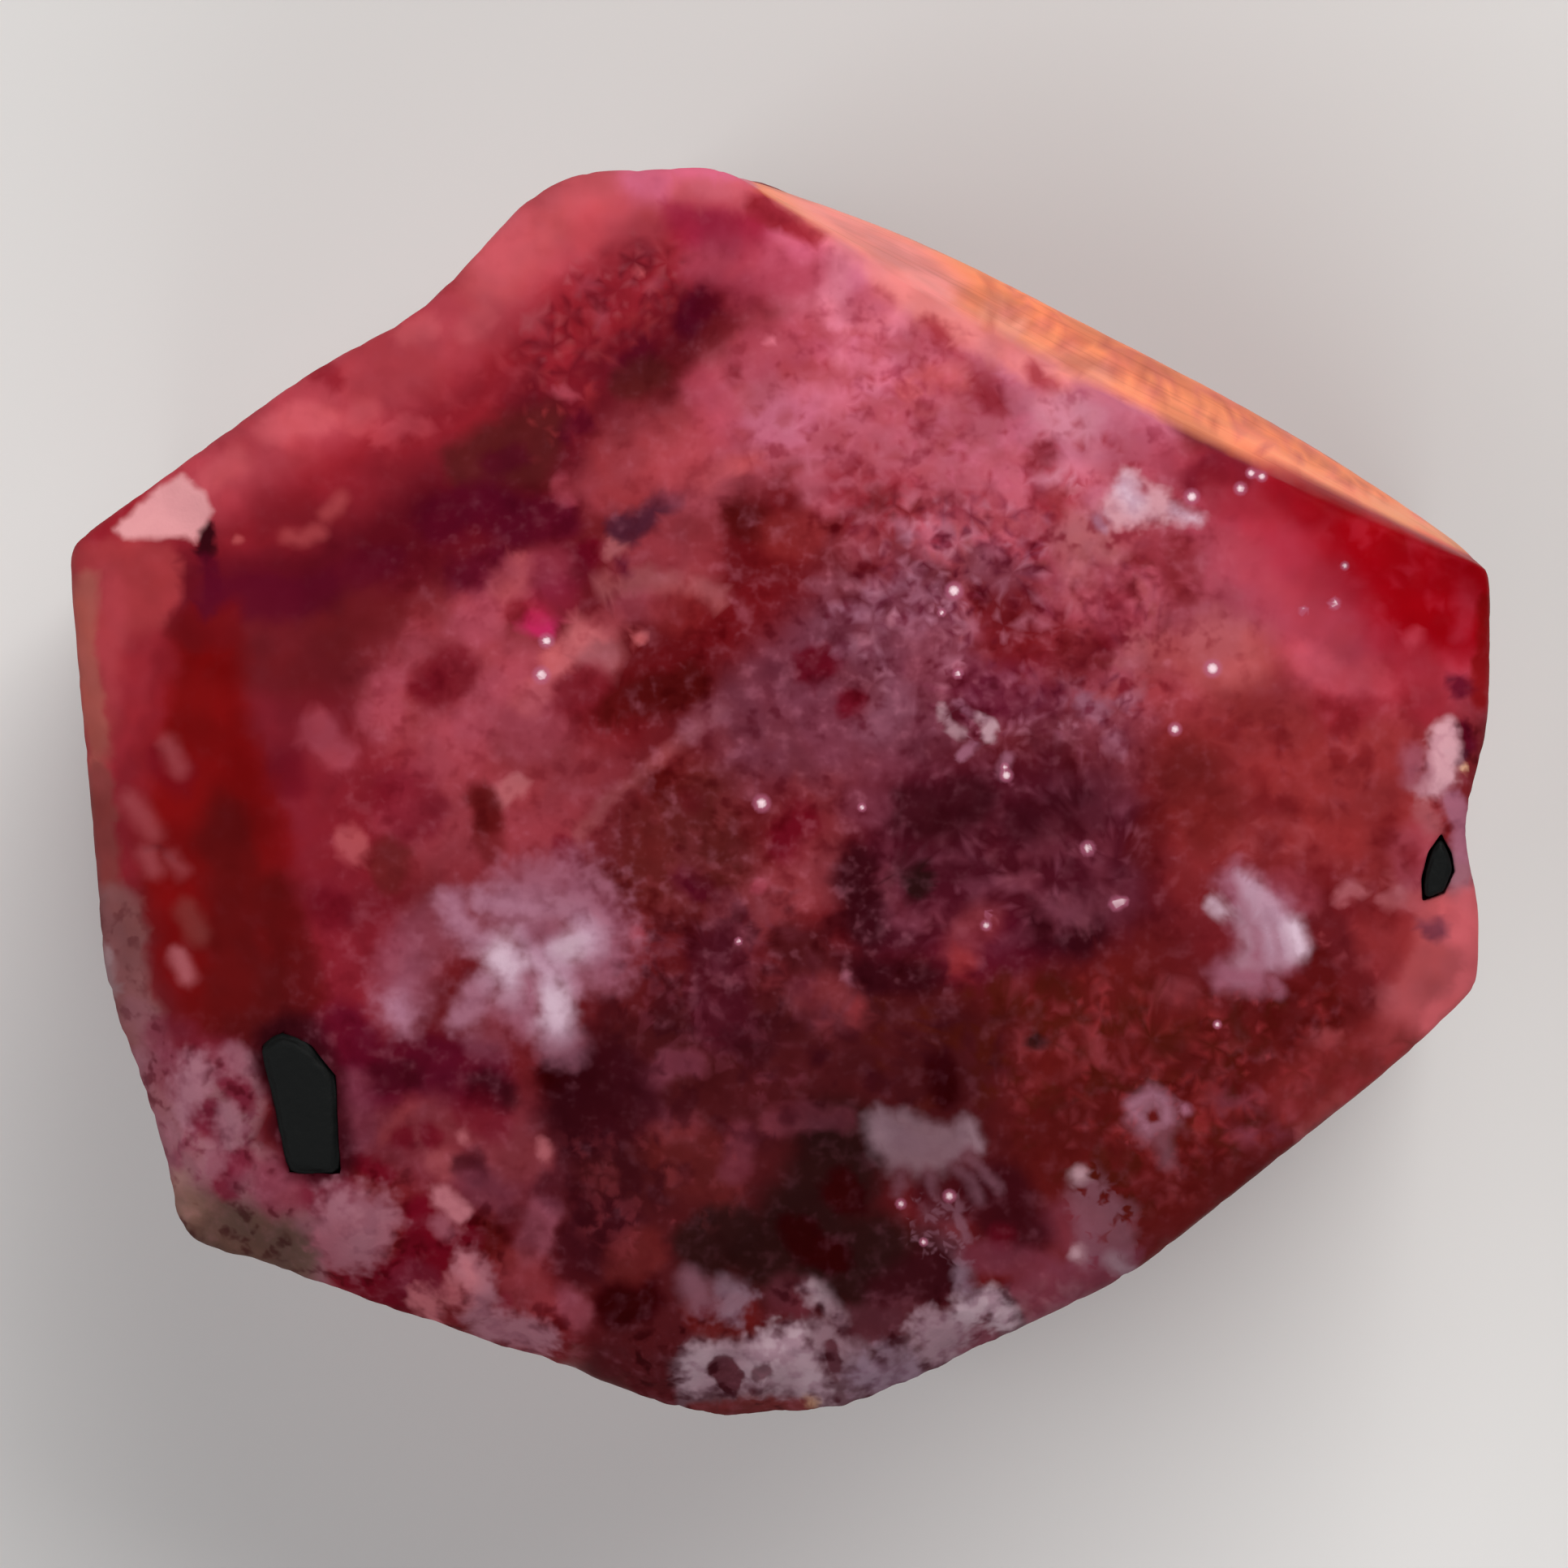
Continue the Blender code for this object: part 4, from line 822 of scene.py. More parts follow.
FILM = (  # crisp-edged pale fillings and crust
    *dabs("feather 1 haze", Tint.FEATHER_ROSE,
        (0.65, 20, 36, "630,1112 660,1094 700,1090 730,1114 744,1150 738,1184")),
    *dabs("feather 1 inner", Tint.FEATHER_ROSE, (0.6, 14, 24, "632,1236 648,1262"),
        (0.2, 12, 20, "594,1286 606,1288"), (0.4, 14, 20, "680,1290 700,1292"),
        (0.4, 12, 22, "660,1146 676,1130")),
    *dabs("feather 1 spot haze", Tint.FEATHER_ROSE, (0.3, 16, 36, "494,1236 500,1200")),
    *dabs("feather 1 spot", Tint.FEATHER_SOFT, (0.85, 14, 20, "488,1242 494,1250")),
    *dabs("feather 1 arc", Tint.FEATHER_SOFT, (0.7, 9, 20, "556,1112 562,1134 580,1152 600,1162")),
    *dabs("feather 1 west finger", Tint.FEATHER_SOFT, (0.6, 10, 18, "594,1214 580,1236 568,1256")),
    *dabs("feather 1 brow", Tint.FEATHER_SOFT,
        (0.75, 9, 18, "592,1110 640,1118 672,1120 706,1126 728,1142"),
        (0.5, 14, 20, "676,1146 690,1190 704,1206"), (0.8, 12, 22, "650,1150 664,1180 676,1204")),
    *dabs("feather 1 east lobe", Tint.FEATHER, (0.85, 13, 18, "690,1174 718,1160")),
    *dabs("feather 1 core", Tint.FEATHER, (0.8, 19, 22, "624,1186 636,1202")),
    *dabs("feather 1 finger", Tint.FEATHER, (0.8, 13, 20, "674,1212 680,1238 684,1262")),
    *dabs("feather 1 light", Tint.FEATHER_LIGHT, (0.8, 10, 14, "618,1182 630,1194"),
        (0.8, 8, 14, "680,1226 684,1252"), (0.6, 5, 12, "694,1172 708,1166")),
    *dabs("feather 1 cleft", Tint.FEATHER_ROSE, (0.7, 4, 12, "650,1210 654,1240"),
        (0.5, 4, 12, "664,1150 680,1144")),
    patch("feather 2", Tint.FEATHER_ROSE, 20, "1498,1080 1520,1060 1548,1080 1580,1094 1602,1128 1612,1168 "
        "1598,1192 1566,1204 1545,1212 1514,1206 1510,1184 1526,1160 1512,1126", 0.68),
    *dabs("feather 2 vane", Tint.FEATHER, (0.8, 4, 9, "1530,1080 1560,1110 1594,1146 1600,1172"),
        (0.7, 3, 9, "1538,1100 1560,1146 1568,1192"), (0.7, 3, 9, "1552,1096 1578,1140 1586,1180"),
        (0.5, 2, 9, "1524,1124 1538,1160 1528,1196"), (0.6, 4, 9, "1526,1200 1556,1194")),
    *dabs("feather 2 light", Tint.FEATHER_LIGHT, (0.9, 6, 12, "1594,1142 1604,1168"),
        (0.6, 4, 10, "1494,1110 1504,1122"), (0.6, 5, 12, "1524,1192 1534,1198")),
    *dabs("feather 2 haze", Tint.FEATHER_ROSE, (0.7, 12, 18, "1512,1200 1548,1204")),
    *dabs("feather 2 tail", Tint.FEATHER_ROSE, (0.5, 4, 9, "1568,1208 1576,1222")),
    *dabs("feather 3", Tint.FEATHER_DULL, (0.5, 16, 20, "1416,1370 1424,1384")),
    *dabs("feather 3 ring", Tint.FEATHER_SOFT,
        (0.6, 5, 12, "1396,1362 1420,1346 1438,1362 1440,1385 1420,1397 1398,1372")),
    *dabs("feather 3 tail", Tint.FEATHER_DULL, (0.5, 5, 12, "1434,1402 1438,1430")),
    *dabs("feather 3 spot", Tint.FEATHER_ROSE, (0.8, 5, 7, "1460,1368")),
    patch("feather 4", Tint.FEATHER_DULL, 16, "1320,1450 1350,1438 1375,1466 1402,1492 1402,1550 1380,1574 "
        "1330,1562 1318,1500", 0.6, 18, 0.75),
    *dabs("feather 4 light", Tint.SPECK, (0.75, 7, 9, "1330,1448"), (0.8, 6, 8, "1328,1546")),
    *dabs("feather 4 light", Tint.CRUST_WHITE, (0.8, 7, 8, "1372,1556 1392,1568")),
    patch("feather 5", Tint.FEATHER_GREY, 16, "1070,1390 1080,1364 1110,1372 1148,1388 1170,1390 1188,1374 "
        "1200,1392 1208,1418 1188,1434 1165,1442 1130,1452 1100,1442 1084,1424", 0.7),
    *dabs("feather 5 light", Tint.CRUST_WHITE, (0.8, 7, 16, "1080,1384 1086,1410"),
        (0.8, 5, 12, "1192,1388 1202,1414"), (0.6, 8, 18, "1106,1432 1140,1436 1160,1430"),
        (0.6, 6, 14, "1112,1380 1146,1396 1172,1402")),
    *dabs("feather 5 fringe", Tint.FEATHER_DULL, (0.5, 3, 9, "1192,1425 1212,1445 1230,1464"),
        (0.5, 3, 9, "1178,1438 1196,1458 1208,1478"), (0.5, 3, 9, "1145,1448 1150,1470"),
        (0.5, 3, 9, "1110,1450 1104,1472")),
    patch("feather 5 trail", Tint.FEATHER_DULL, 12, "1120,1470 1190,1470 1205,1530 1195,1590 1160,1560 "
        "1110,1540", 0.6, 10, 0.3),
    *dabs("chart speck", Tint.FEATHER_DULL, (0.7, 4, 5, "1180,1500 1192,1530")),
    patch("chip", Tint.CHIP, 7, "138,654 169,624 195,597 222,584 249,605 263,629 252,648 245,656 240,672 "
        "228,663 206,662 180,665 152,666"),
    patch("lavender patch", Tint.FEATHER_WARM, 12, "1352,612 1366,594 1384,580 1402,584 1416,602 1440,610 "
        "1464,624 1480,638 1464,648 1430,640 1404,650 1376,654 1356,640", 0.75),
    *dabs("lavender patch light", Tint.FEATHER_LIGHT, (0.8, 7, 12, "1384,600 1396,618"),
        (0.7, 4, 10, "1450,628 1474,640")),
    *dabs("lavender patch side", Tint.FEATHER_SOFT, (0.8, 6, 8, "1350,640 1358,648")),
    *dabs("lavender patch side", Tint.LAVENDER, (0.6, 8, 10, "1350,605 1340,618")),
    patch("east rim crust", Tint.FEATHER_WARM, 10, "1762,896 1784,880 1797,896 1794,935 1792,965 1770,985 "
        "1745,985 1738,968 1752,930", 0.85),
    *dabs("east rim crust tail", Tint.FEATHER_ROSE, (0.8, 10, 10, "1788,985 1800,1015 1806,1050")),
    *dabs("east rim crust side", Tint.FLECK_PALE, (0.6, 9, 12, "1756,1000 1762,1018")),
    *dabs("east rim crust side", Tint.FEATHER_ROSE, (0.4, 9, 14, "1738,930 1740,956")),
    *dabs("ring of lace", Tint.SPECK, (0.6, 4, 6, "1162,876 1172,896 1186,904"),
        (0.9, 5, 6, "1206,884 1220,892 1216,908")),
    *dabs("ring of lace", Tint.LAVENDER_DUSK, (0.8, 4, 6, "1186,930 1200,918"),
        (0.7, 4, 6, "1180,868 1195,880"), (0.7, 5, 7, "1240,935 1236,950")),
    *dabs("crescent", Tint.CRESCENT, (0.5, 4, 12, "352,662 370,664 392,655"),
        (0.5, 4, 12, "402,634 412,626 420,614")),
    *dabs("crescent dot", Tint.CRESCENT, (0.8, 4, 5, "293,665")),
    *dabs("west fleck", Tint.FLECK, (0.6, 5, 14, "206,918 212,932 220,946"),
        (0.6, 6, 16, "158,990 174,1006 186,1028"), (0.65, 7, 14, "180,1056 188,1070"),
        (0.5, 5, 12, "208,1058 222,1074")),
    *dabs("west fleck", Tint.STRAP_LOW, (0.6, 9, 14, "228,1124 236,1138 242,1152")),
    *dabs("west fleck", Tint.FLECK_PALE, (0.8, 6, 12, "216,1178 222,1190 228,1204")),
    patch("mauve lump", Tint.CRUST_LILAC, 14, "380,1510 406,1482 440,1466 476,1474 494,1500 484,1534 "
        "468,1556 430,1572 398,1560 380,1534", 0.9),
    *dabs("mauve lump light", Tint.CRUST_PINK, (0.8, 16, 26, "420,1490 456,1500 444,1536")),
    *dabs("shell", Tint.CRUST_PINK, (0.7, 15, 14, "576,1566 590,1592 590,1618")),
    patch("west crust light", Tint.CRUST_PINK, 16, "212,1330 228,1300 250,1298 262,1320 250,1350 236,1384 "
        "222,1400 208,1372", 0.9),
    *dabs("west crust light", Tint.CRUST_PINK, (0.5, 8, 12, "284,1300 296,1310 302,1322"),
        (0.75, 10, 12, "274,1376 280,1400"), (0.5, 8, 12, "256,1420 262,1440")),
    patch("south crust", Tint.CRUST_WHITE, 14, "832,1700 846,1672 872,1658 905,1662 935,1644 980,1638 "
        "1006,1660 1018,1690 1020,1710 996,1722 950,1718 900,1716 856,1722", 0.9),
    *dabs("south crust light", Tint.CRUST_BRIGHT, (0.9, 14, 16, "950,1664 980,1656"),
        (0.85, 10, 14, "1000,1700 1012,1716"), (0.75, 9, 14, "852,1690 866,1676"),
        (0.6, 8, 14, "930,1700 960,1696")),
    *dabs("south crust middle", Tint.CRUST_BLUE, (0.85, 15, 18, "1062,1692 1090,1700 1116,1692"),
        (0.5, 7, 14, "1092,1668 1100,1678")),
    *dabs("south crust east", Tint.CRUST_WHITE, (0.9, 17, 16, "1146,1640 1176,1640 1160,1664")),
    *dabs("south crust east", Tint.CRUST_BRIGHT, (0.95, 14, 12, "1194,1616 1220,1606 1236,1622")),
    *dabs("south crust streak", Tint.CRUST_WHITE, (0.7, 6, 12, "996,1588 1016,1602 1034,1630"),
        (0.6, 10, 14, "1016,1650 1030,1672")),
    *dabs("south crust streak light", Tint.CRUST_BRIGHT, (0.6, 5, 8, "1000,1590 1010,1600")),
    *dabs("south crust blue", Tint.CRUST_BLUE, (0.6, 11, 14, "890,1592 908,1598 900,1618")),
    *dabs("south crust blue", Tint.FEATHER_DULL, (0.7, 10, 16, "850,1582 868,1612")),
    *dabs("south crust dot", Tint.AMBER_SPECK, (0.5, 3, 8, "1000,1733")),
    *dabs("south crust east", Tint.CRUST_BLUE, (0.6, 6, 12, "1186,1572 1192,1590")),
    *dabs("shell", Tint.SHELL, (0.9, 8, 12, "572,1562 580,1580")),
    *dabs("shell", Tint.FLECK_PALE, (0.85, 11, 12, "520,1604 534,1620"),
        (0.7, 8, 14, "548,1592 560,1602")),
    *dabs("shell", Tint.SHELL, (0.9, 10, 10, "544,1478 566,1498")),
    *dabs("shell", Tint.CRUST_LILAC, (0.8, 7, 10, "540,1510 550,1522")),
    *dabs("rim lumps", Tint.CRUST_PINK, (0.8, 14, 14, "604,1638 640,1646 668,1652")),
    *dabs("rose speck", Tint.FLECK_PALE, (0.7, 4, 8, "570,1404"), (0.7, 4, 8, "667,1412 670,1424")),
)

BARE = (  # places where the film is missing
    *dabs("pit", Tint.PIT, (1, 15, 6, "888,1690 898,1700"), (1, 6, 6, "934,1697 944,1690"),
        (1, 5, 7, "1022,1660 1030,1690")),
    *dabs("hole", Tint.DUSK, (1, 3, 10, "1422,1374")),
)

# Painted highlights: bright little mirrors of the surface, painted into the colour as pale spots: place on
# the chart and radius.
PAINTED_GLINTS = (
    (1467, 612, 7), (1540, 583, 5), (1553, 587, 5), (1527, 602, 6), (1605, 752, 5), (1642, 743, 6),
    (1493, 823, 8), (1447, 898, 6), (1655, 697, 4), (1175, 728, 8), (1160, 755, 4), (1180, 830, 5),
    (938, 990, 8), (1062, 995, 4), (1340, 1045, 7), (1375, 1113, 7), (1385, 1110, 5), (1240, 955, 6),
    (1238, 945, 4), (1218, 1125, 4), (1215, 1140, 5), (910, 1160, 4), (667, 832, 8), (673, 790, 7),
    (1170, 1475, 6), (1110, 1485, 5), (1500, 1262, 4), (1138, 1532, 4),
)

TEXTURE = (  # how crumbly the stone looks; the strength is the amount that a patch sets
    patch("middle", Tint.MAUVE, 120, "900,620 1080,560 1300,520 1450,560 1500,760 1430,930 1440,1120 "
        "1200,1220 900,1240 700,1120 760,900 860,760", 0.8),
    patch("lavender threads", Tint.MAUVE, 90, "1000,620 1180,580 1420,640 1440,860 1260,960 1060,900 "
        "980,780"),
    patch("north milk", Tint.MILK, 60, "940,400 1060,350 1300,450 1440,540 1400,640 1100,640 "
        "900,600", 0.7),
    patch("smooth slope", Tint.CARMINE, 60, "40,700 240,560 600,300 800,150 960,210 940,330 800,440 "
        "640,600 400,740 250,750", 0.12),
    patch("rough slope", Tint.CARMINE, 60, "700,400 760,310 860,270 940,310 860,400 760,470", 0.25),
    patch("gem band", Tint.GEM, 60, "40,690 240,720 420,760 440,900 400,1080 350,1250 60,1280", 0.06),
    *dabs("valley foot", Tint.PLUM, (0.04, 40, 30, "260,700 330,740 440,740")),
    patch("dark pool", Tint.POOL, 70, "1060,960 1200,920 1420,970 1420,1130 1150,1200", 0.35),
    patch("south dusk", Tint.NIGHT, 80, "690,1260 1240,1220 1240,1560 1100,1620 720,1660", 0.25),
    patch("south-east", Tint.BROWN, 90, "1240,1180 1800,1120 1780,1320 1400,1600 1240,1560", 0.25),
    patch("west haze", Tint.HAZE, 80, "450,830 600,720 740,760 700,960 620,1060 420,1040", 0.5),
    patch("gem corner", Tint.GEM, 110, "1480,560 1640,580 1860,670 1860,860 1740,860 1580,800", 0.08),
    patch("east clay", Tint.CLAY, 80, "1500,840 1780,860 1780,1080 1640,1060 1500,1060", 0.3),
    patch("knob", Tint.KNOB, 40, "1720,1130 1880,1090 1860,1260 1700,1320", 0.1),
    patch("strip", Tint.ORANGE, 8, "922,200 1210,290 1520,430 1880,690 1790,677 1600,592 1400,502 1180,402 "
        "1005,288", 0),
)

CLEAR = (  # where the stone is clearest; the strength is how clear
    patch("gem band", Tint.GEM, 40, "205,780 235,740 300,745 330,900 345,1060 325,1250 240,1290 190,1190 "
        "170,1060 172,900", 0.3),
    patch("gem corner", Tint.GEM, 50, "1560,580 1640,600 1800,668 1820,740 1770,790 1640,700", 0.3),
    patch("dark pool", Tint.POOL, 80, "1060,960 1200,920 1420,980 1420,1120 1140,1200", 0.15),
    patch("south hollow", Tint.NIGHT, 80, "740,1300 1100,1290 1230,1500 1100,1600 760,1630", 0.2),
)

GRITTY = (  # where the surface is rough crust; the strength is how rough
    patch("west crust", Tint.CRUST_ROSE, 20, "120,1290 205,1285 310,1290 330,1400 352,1442 500,1440 "
        "520,1540 600,1480 620,1560 720,1640 640,1760 300,1700 120,1560", 0.8),
    patch("south crust", Tint.CRUST_WHITE, 20, "760,1660 850,1620 920,1580 1000,1580 1040,1620 1110,1610 "
        "1180,1570 1250,1590 1260,1680 1000,1820 800,1800"),
    patch("east rim crust", Tint.FEATHER_WARM, 14, "1762,890 1820,870 1850,1050 1780,1040 1735,980", 0.7),
    patch("ash flank", Tint.ASH_ROSE, 16, "60,1100 165,1110 180,1230 210,1300 60,1300", 0.6),
)


class EndFace:
    """Lays the markings over points of the chart."""

    EDGE_WANDER = ((9.0, 60.0), (7.0, 24.0), (3.0, 10.0))  # how far the edges wander, and over what span
    FILM_WANDER = ((4.0, 34.0), (3.5, 14.0))
    FILM_SOFTENING = 1.9  # how many times wider than given the edges of the fillings fade
    FILM_RANGE = (-0.5, 1.5)
    FILM_TOP = 1.2  # level that the middle of a filling reaches before its blotches are cut out
    FILM_CUT = 0.8  # how far its level drops where a blotch is missing
    BLOTCH_SPREAD = 0.8  # level of the noise between a share of none and of all, halved
    BLOTCH_EDGE = 0.12
    BLOTCH_SHIFT = 3.7  # moves the blotches of each marking apart, by its own first point
    NOTHING = 1e-6
    SHEEN = (0.004, 0.0010, 0.0012)  # light that the skin adds to every colour, taken off beforehand
    DARKEST = 0.0008
    GLINT_RANGE = 9.0
    GROUND_LAYERS = (BROAD, MIDDLE, NORTH, EAST, POOL, SOUTH, SHELF, WEST, SOUTH_WEST, SOUTH_CRUST,
                     EDGE_STRIP)

    def __init__(self) -> None:
        """Draws the noises that the edges wander by."""
        self._east = Clouds(3)
        self._south = Clouds(4)
        self._blotches = Clouds(5)

    def _wandered(self, points: np.ndarray, wander: Outline) -> np.ndarray:
        """The points shifted a little, so that markings drawn on them have uneven edges.

        Args:
            points: Chart points.
            wander: Pairs of how far and over what span.

        Returns:
            The shifted points.
        """
        moved = points.copy()
        for reach, span in wander:
            moved[:, 0] += reach * self._east.at(points, span, 2)
            moved[:, 1] += reach * self._south.at(points, span, 2)
        return moved

    def _blotched(self, dab: Dab, points: np.ndarray) -> np.ndarray:
        """How much a marking's blotches cover each point.

        Args:
            dab: The marking.
            points: Chart points.

        Returns:
            The cover from 0 to 1, and 1 everywhere if it has no blotches.
        """
        if not dab.blotch:
            return np.ones(len(points))
        start = np.array(dab.line[0], float) * self.BLOTCH_SHIFT
        level = self.BLOTCH_SPREAD * (0.5 - dab.share)
        drift = self._blotches.at(points + start, dab.blotch, 3)
        return ramp(level - self.BLOTCH_EDGE, level + self.BLOTCH_EDGE, drift)

    def ground(self, points: np.ndarray) -> np.ndarray:
        """The colour of the stone itself.

        Args:
            points: Chart points.

        Returns:
            Linear red, green and blue of each point.
        """
        moved = self._wandered(points, self.EDGE_WANDER)
        screen = np.tile(Tint.BRICK.screen(), (len(points), 1))
        for layer in self.GROUND_LAYERS:
            at = points if layer is EDGE_STRIP else moved  # the strip's edges are even
            for dab in layer:
                near = dab.near(at)
                cover = ramp(dab.fade, 0.0, dab.away(at[near])) * self._blotched(dab, at[near])
                screen[near] += (cover * dab.strength)[:, None] * (dab.tint.screen() - screen[near])
        return np.maximum(linear(screen) - np.array(self.SHEEN), self.DARKEST)

    def film(self, points: np.ndarray) -> tuple[np.ndarray, np.ndarray, np.ndarray]:
        """The crisp-edged pale fillings.

        Args:
            points: Chart points.

        Returns:
            Their linear colour, their strength, and their level, which passes 0.5 at the edge.
        """
        moved = self._wandered(points, self.FILM_WANDER)
        lowest, highest = self.FILM_RANGE
        level = np.full(len(points), lowest)
        strength = np.zeros(len(points))
        colour = np.tile(Tint.FEATHER_DULL.linear(), (len(points), 1))
        for dab in FILM:
            fade = dab.fade * self.FILM_SOFTENING
            near = dab.near(moved, 2 * fade)
            own = 0.5 + (0.5 * dab.fade - dab.away(moved[near])) / fade
            own = np.minimum(own, self.FILM_TOP) - self.FILM_CUT * (1.0 - self._blotched(dab, moved[near]))
            own = np.clip(own, lowest, highest)
            top = np.clip(own, 0.0, 1.0)
            under = np.clip(level[near], 0.0, 1.0) * (1.0 - top)
            share = top / np.maximum(top + under, self.NOTHING)
            colour[near] += share[:, None] * (dab.tint.linear() - colour[near])
            strength[near] += share * (dab.strength - strength[near])
            level[near] = np.maximum(level[near], own)
        for dab in BARE:
            near = dab.near(moved, dab.fade)
            level[near] = np.minimum(level[near], dab.away(moved[near]) / dab.fade)
        return colour, strength, np.clip(level, lowest, highest)

    def glints(self, points: np.ndarray) -> np.ndarray:
        """How far points are from the glints, the painted highlights.

        Args:
            points: Chart points.

        Returns:
            Squared distance to the nearest glint, in radii of that glint.
        """
        nearest = np.full(len(points), self.GLINT_RANGE)
        for x, y, radius in PAINTED_GLINTS:
            nearest = np.minimum(nearest, ((points - (x, y)) ** 2).sum(axis=1) / radius ** 2)
        return nearest

    def amount(self, points: np.ndarray, steps: tuple[Dab, ...], start: float = 0.0) -> np.ndarray:
        """A number that varies over the chart, where each marking sets it to the marking's strength.

        Args:
            points: Chart points.
            steps: The markings, from the bottom up.
            start: The number where there is no marking.

        Returns:
            The number at each point.
        """
        moved = self._wandered(points, self.EDGE_WANDER)
        number = np.full(len(points), start)
        for dab in steps:
            near = dab.near(moved)
            cover = ramp(dab.fade, 0.0, dab.away(moved[near]))
            number[near] += cover * (dab.strength - number[near])
        return number


# ---- the walls ----


class Region(Enum):
    """The three regions of the crystal's surface."""

    END_FACE = 0
    WALL = 1
    BASE = 2


@dataclass(frozen=True)
class Rim:
    """Where the end face meets the walls, as heights over rising bearings from the axis."""

    bearings: np.ndarray
    heights: np.ndarray

    @classmethod
    def through(cls, places: np.ndarray) -> "Rim":
        """The rim through some points.

        Args:
            places: The points, in any order.

        Returns:
            The rim.
        """
        bearing = np.arctan2(places[:, 1], places[:, 0])
        order = np.argsort(bearing)
        return cls(bearing[order], places[order, 2])

    def depth(self, places: np.ndarray) -> np.ndarray:
        """How far below the rim each point lies."""
        bearing = np.arctan2(places[:, 1], places[:, 0])
        return np.interp(bearing, self.bearings, self.heights, period=math.tau) - places[:, 2]


@dataclass(frozen=True)
class Veil:
    """One cloudy layer of colour on the walls.

    Attributes:
        climb: Levels of the noise between which it thickens.
        shift: How far its noise is shifted, so that no two layers match.
        span: Width of its billows.
    """

    tint: Tint
    strength: float
    climb: Point
    shift: float
    span: float | Numbers

    def cover(self, clouds: Clouds, places: np.ndarray) -> np.ndarray:
        """How much of each point it covers."""
        return self.strength * ramp(*self.climb, clouds.at(places + self.shift, self.span))


@dataclass(frozen=True)
class WallPaint:
    """The paint of the walls and the base: raspberry red with milky veils, level lines and a pale foot.

    Attributes:
        drape: Depths below the rim between which the colours of the end face give way to the wall's.
        flank_drape: The same on the north-east wall, whose upper part the chart shows.
        flank: Bearings in degrees between which the north-east wall lies.
        foot: Heights between which the pale skin of the foot sets in, and how much it covers.
        foot_sway: How far its edge wanders up and down, with the shift and the span of that noise.
        lump_foot: Heights between which the lilac lumps on it set in.
    """

    drape: Point = (0.05, 0.8)
    flank_drape: Point = (1.5, 2.6)
    flank: Point = (17.0, 93.0)
    flank_blend: float = 4.0
    veils: tuple[Veil, ...] = (
        Veil(Tint.GEM_RED, 0.9, (-0.15, 0.45), 0.0, 2.4),
        Veil(Tint.GARNET, 0.8, (0.0, 0.5), 31.0, 1.5),
        Veil(Tint.SALMON, 0.75, (0.05, 0.5), 57.0, (1.6, 1.6, 0.9)),
        Veil(Tint.ROSE_VEIL, 0.45, (0.0, 0.5), 83.0, (3.4, 3.4, 0.30)),
        Veil(Tint.WINE, 0.40, (0.05, 0.45), 11.0, (3.0, 3.0, 0.22)),
        Veil(Tint.MILK, 0.25, (0.20, 0.5), 71.0, (0.30, 0.30, 2.6)),
        Veil(Tint.LAVENDER_DUSK, 0.5, (0.28, 0.5), 7.0, (0.8, 0.8, 0.35)),
    )
    foot: Numbers = (1.5, 0.35, 0.8)
    foot_sway: Numbers = (0.5, 43.0, 0.9)
    lumps: Veil = Veil(Tint.CRUST_LILAC, 0.7, (0.1, 0.35), 3.0, 0.35)
    lump_foot: Point = (1.1, 0.2)
    seed: int = 21

    def share(self, places: np.ndarray, depth: np.ndarray) -> np.ndarray:
        """How much of each point is painted as wall.

        Args:
            places: Points in millimetres.
            depth: Their depth below the rim.

        Returns:
            The share, from 0 to 1.
        """
        bearing = np.degrees(np.arctan2(places[:, 1], places[:, 0]))
        first, last = self.flank
        on_flank = ramp(first - self.flank_blend, first, bearing)
        on_flank *= ramp(last + self.flank_blend, last, bearing)
        plain = ramp(*self.drape, depth)
        flank = ramp(*self.flank_drape, depth)
        return plain + on_flank * (flank - plain)

    def colour(self, places: np.ndarray) -> np.ndarray:
        """The wall's colour.

        Args:
            places: Points in millimetres.

        Returns:
            Linear colour of each point.
        """
        clouds = Clouds(self.seed)
        height = places[:, 2]
        covers = [(veil.tint, veil.cover(clouds, places)) for veil in self.veils]
        low, high, thickness = self.foot
        sway, shift, span = self.foot_sway
        edge = height + sway * clouds.at(places + shift, span)
        covers.append((Tint.CRUST_ROSE, thickness * ramp(low, high, edge)))
        covers.append((self.lumps.tint, self.lumps.cover(clouds, places) * ramp(*self.lump_foot, height)))
        paint = np.tile(Tint.CRIMSON.screen(), (len(places), 1))
        for tint, cover in covers:
            paint += cover[:, None] * (tint.screen() - paint)
        return linear(paint)


# ---- materials ----

WHOLE = (0.0, 1.0)


class Sum(Enum):
    """The calculations that a material uses."""

    SUBTRACT = "SUBTRACT"
    MULTIPLY = "MULTIPLY"
    MULTIPLY_ADD = "MULTIPLY_ADD"
    MAXIMUM = "MAXIMUM"


class Blend(Enum):
    """The ways in which one colour goes over another."""

    COVER = "MIX"
    TINT = "MULTIPLY"
    LIGHTEN = "SCREEN"


class Cloud(Enum):
    """The noises in the stone: billows in a millimetre, and octaves beyond the first."""

    COARSE = (1.6, 2.0)
    BLUSH = (2.6, 2.0)
    PATCHY = (3.6, 2.0)
    SMOKE = (6.8, 2.0)
    FINE = (12.0, 1.5)
    FINEST = (30.0, 2.0)


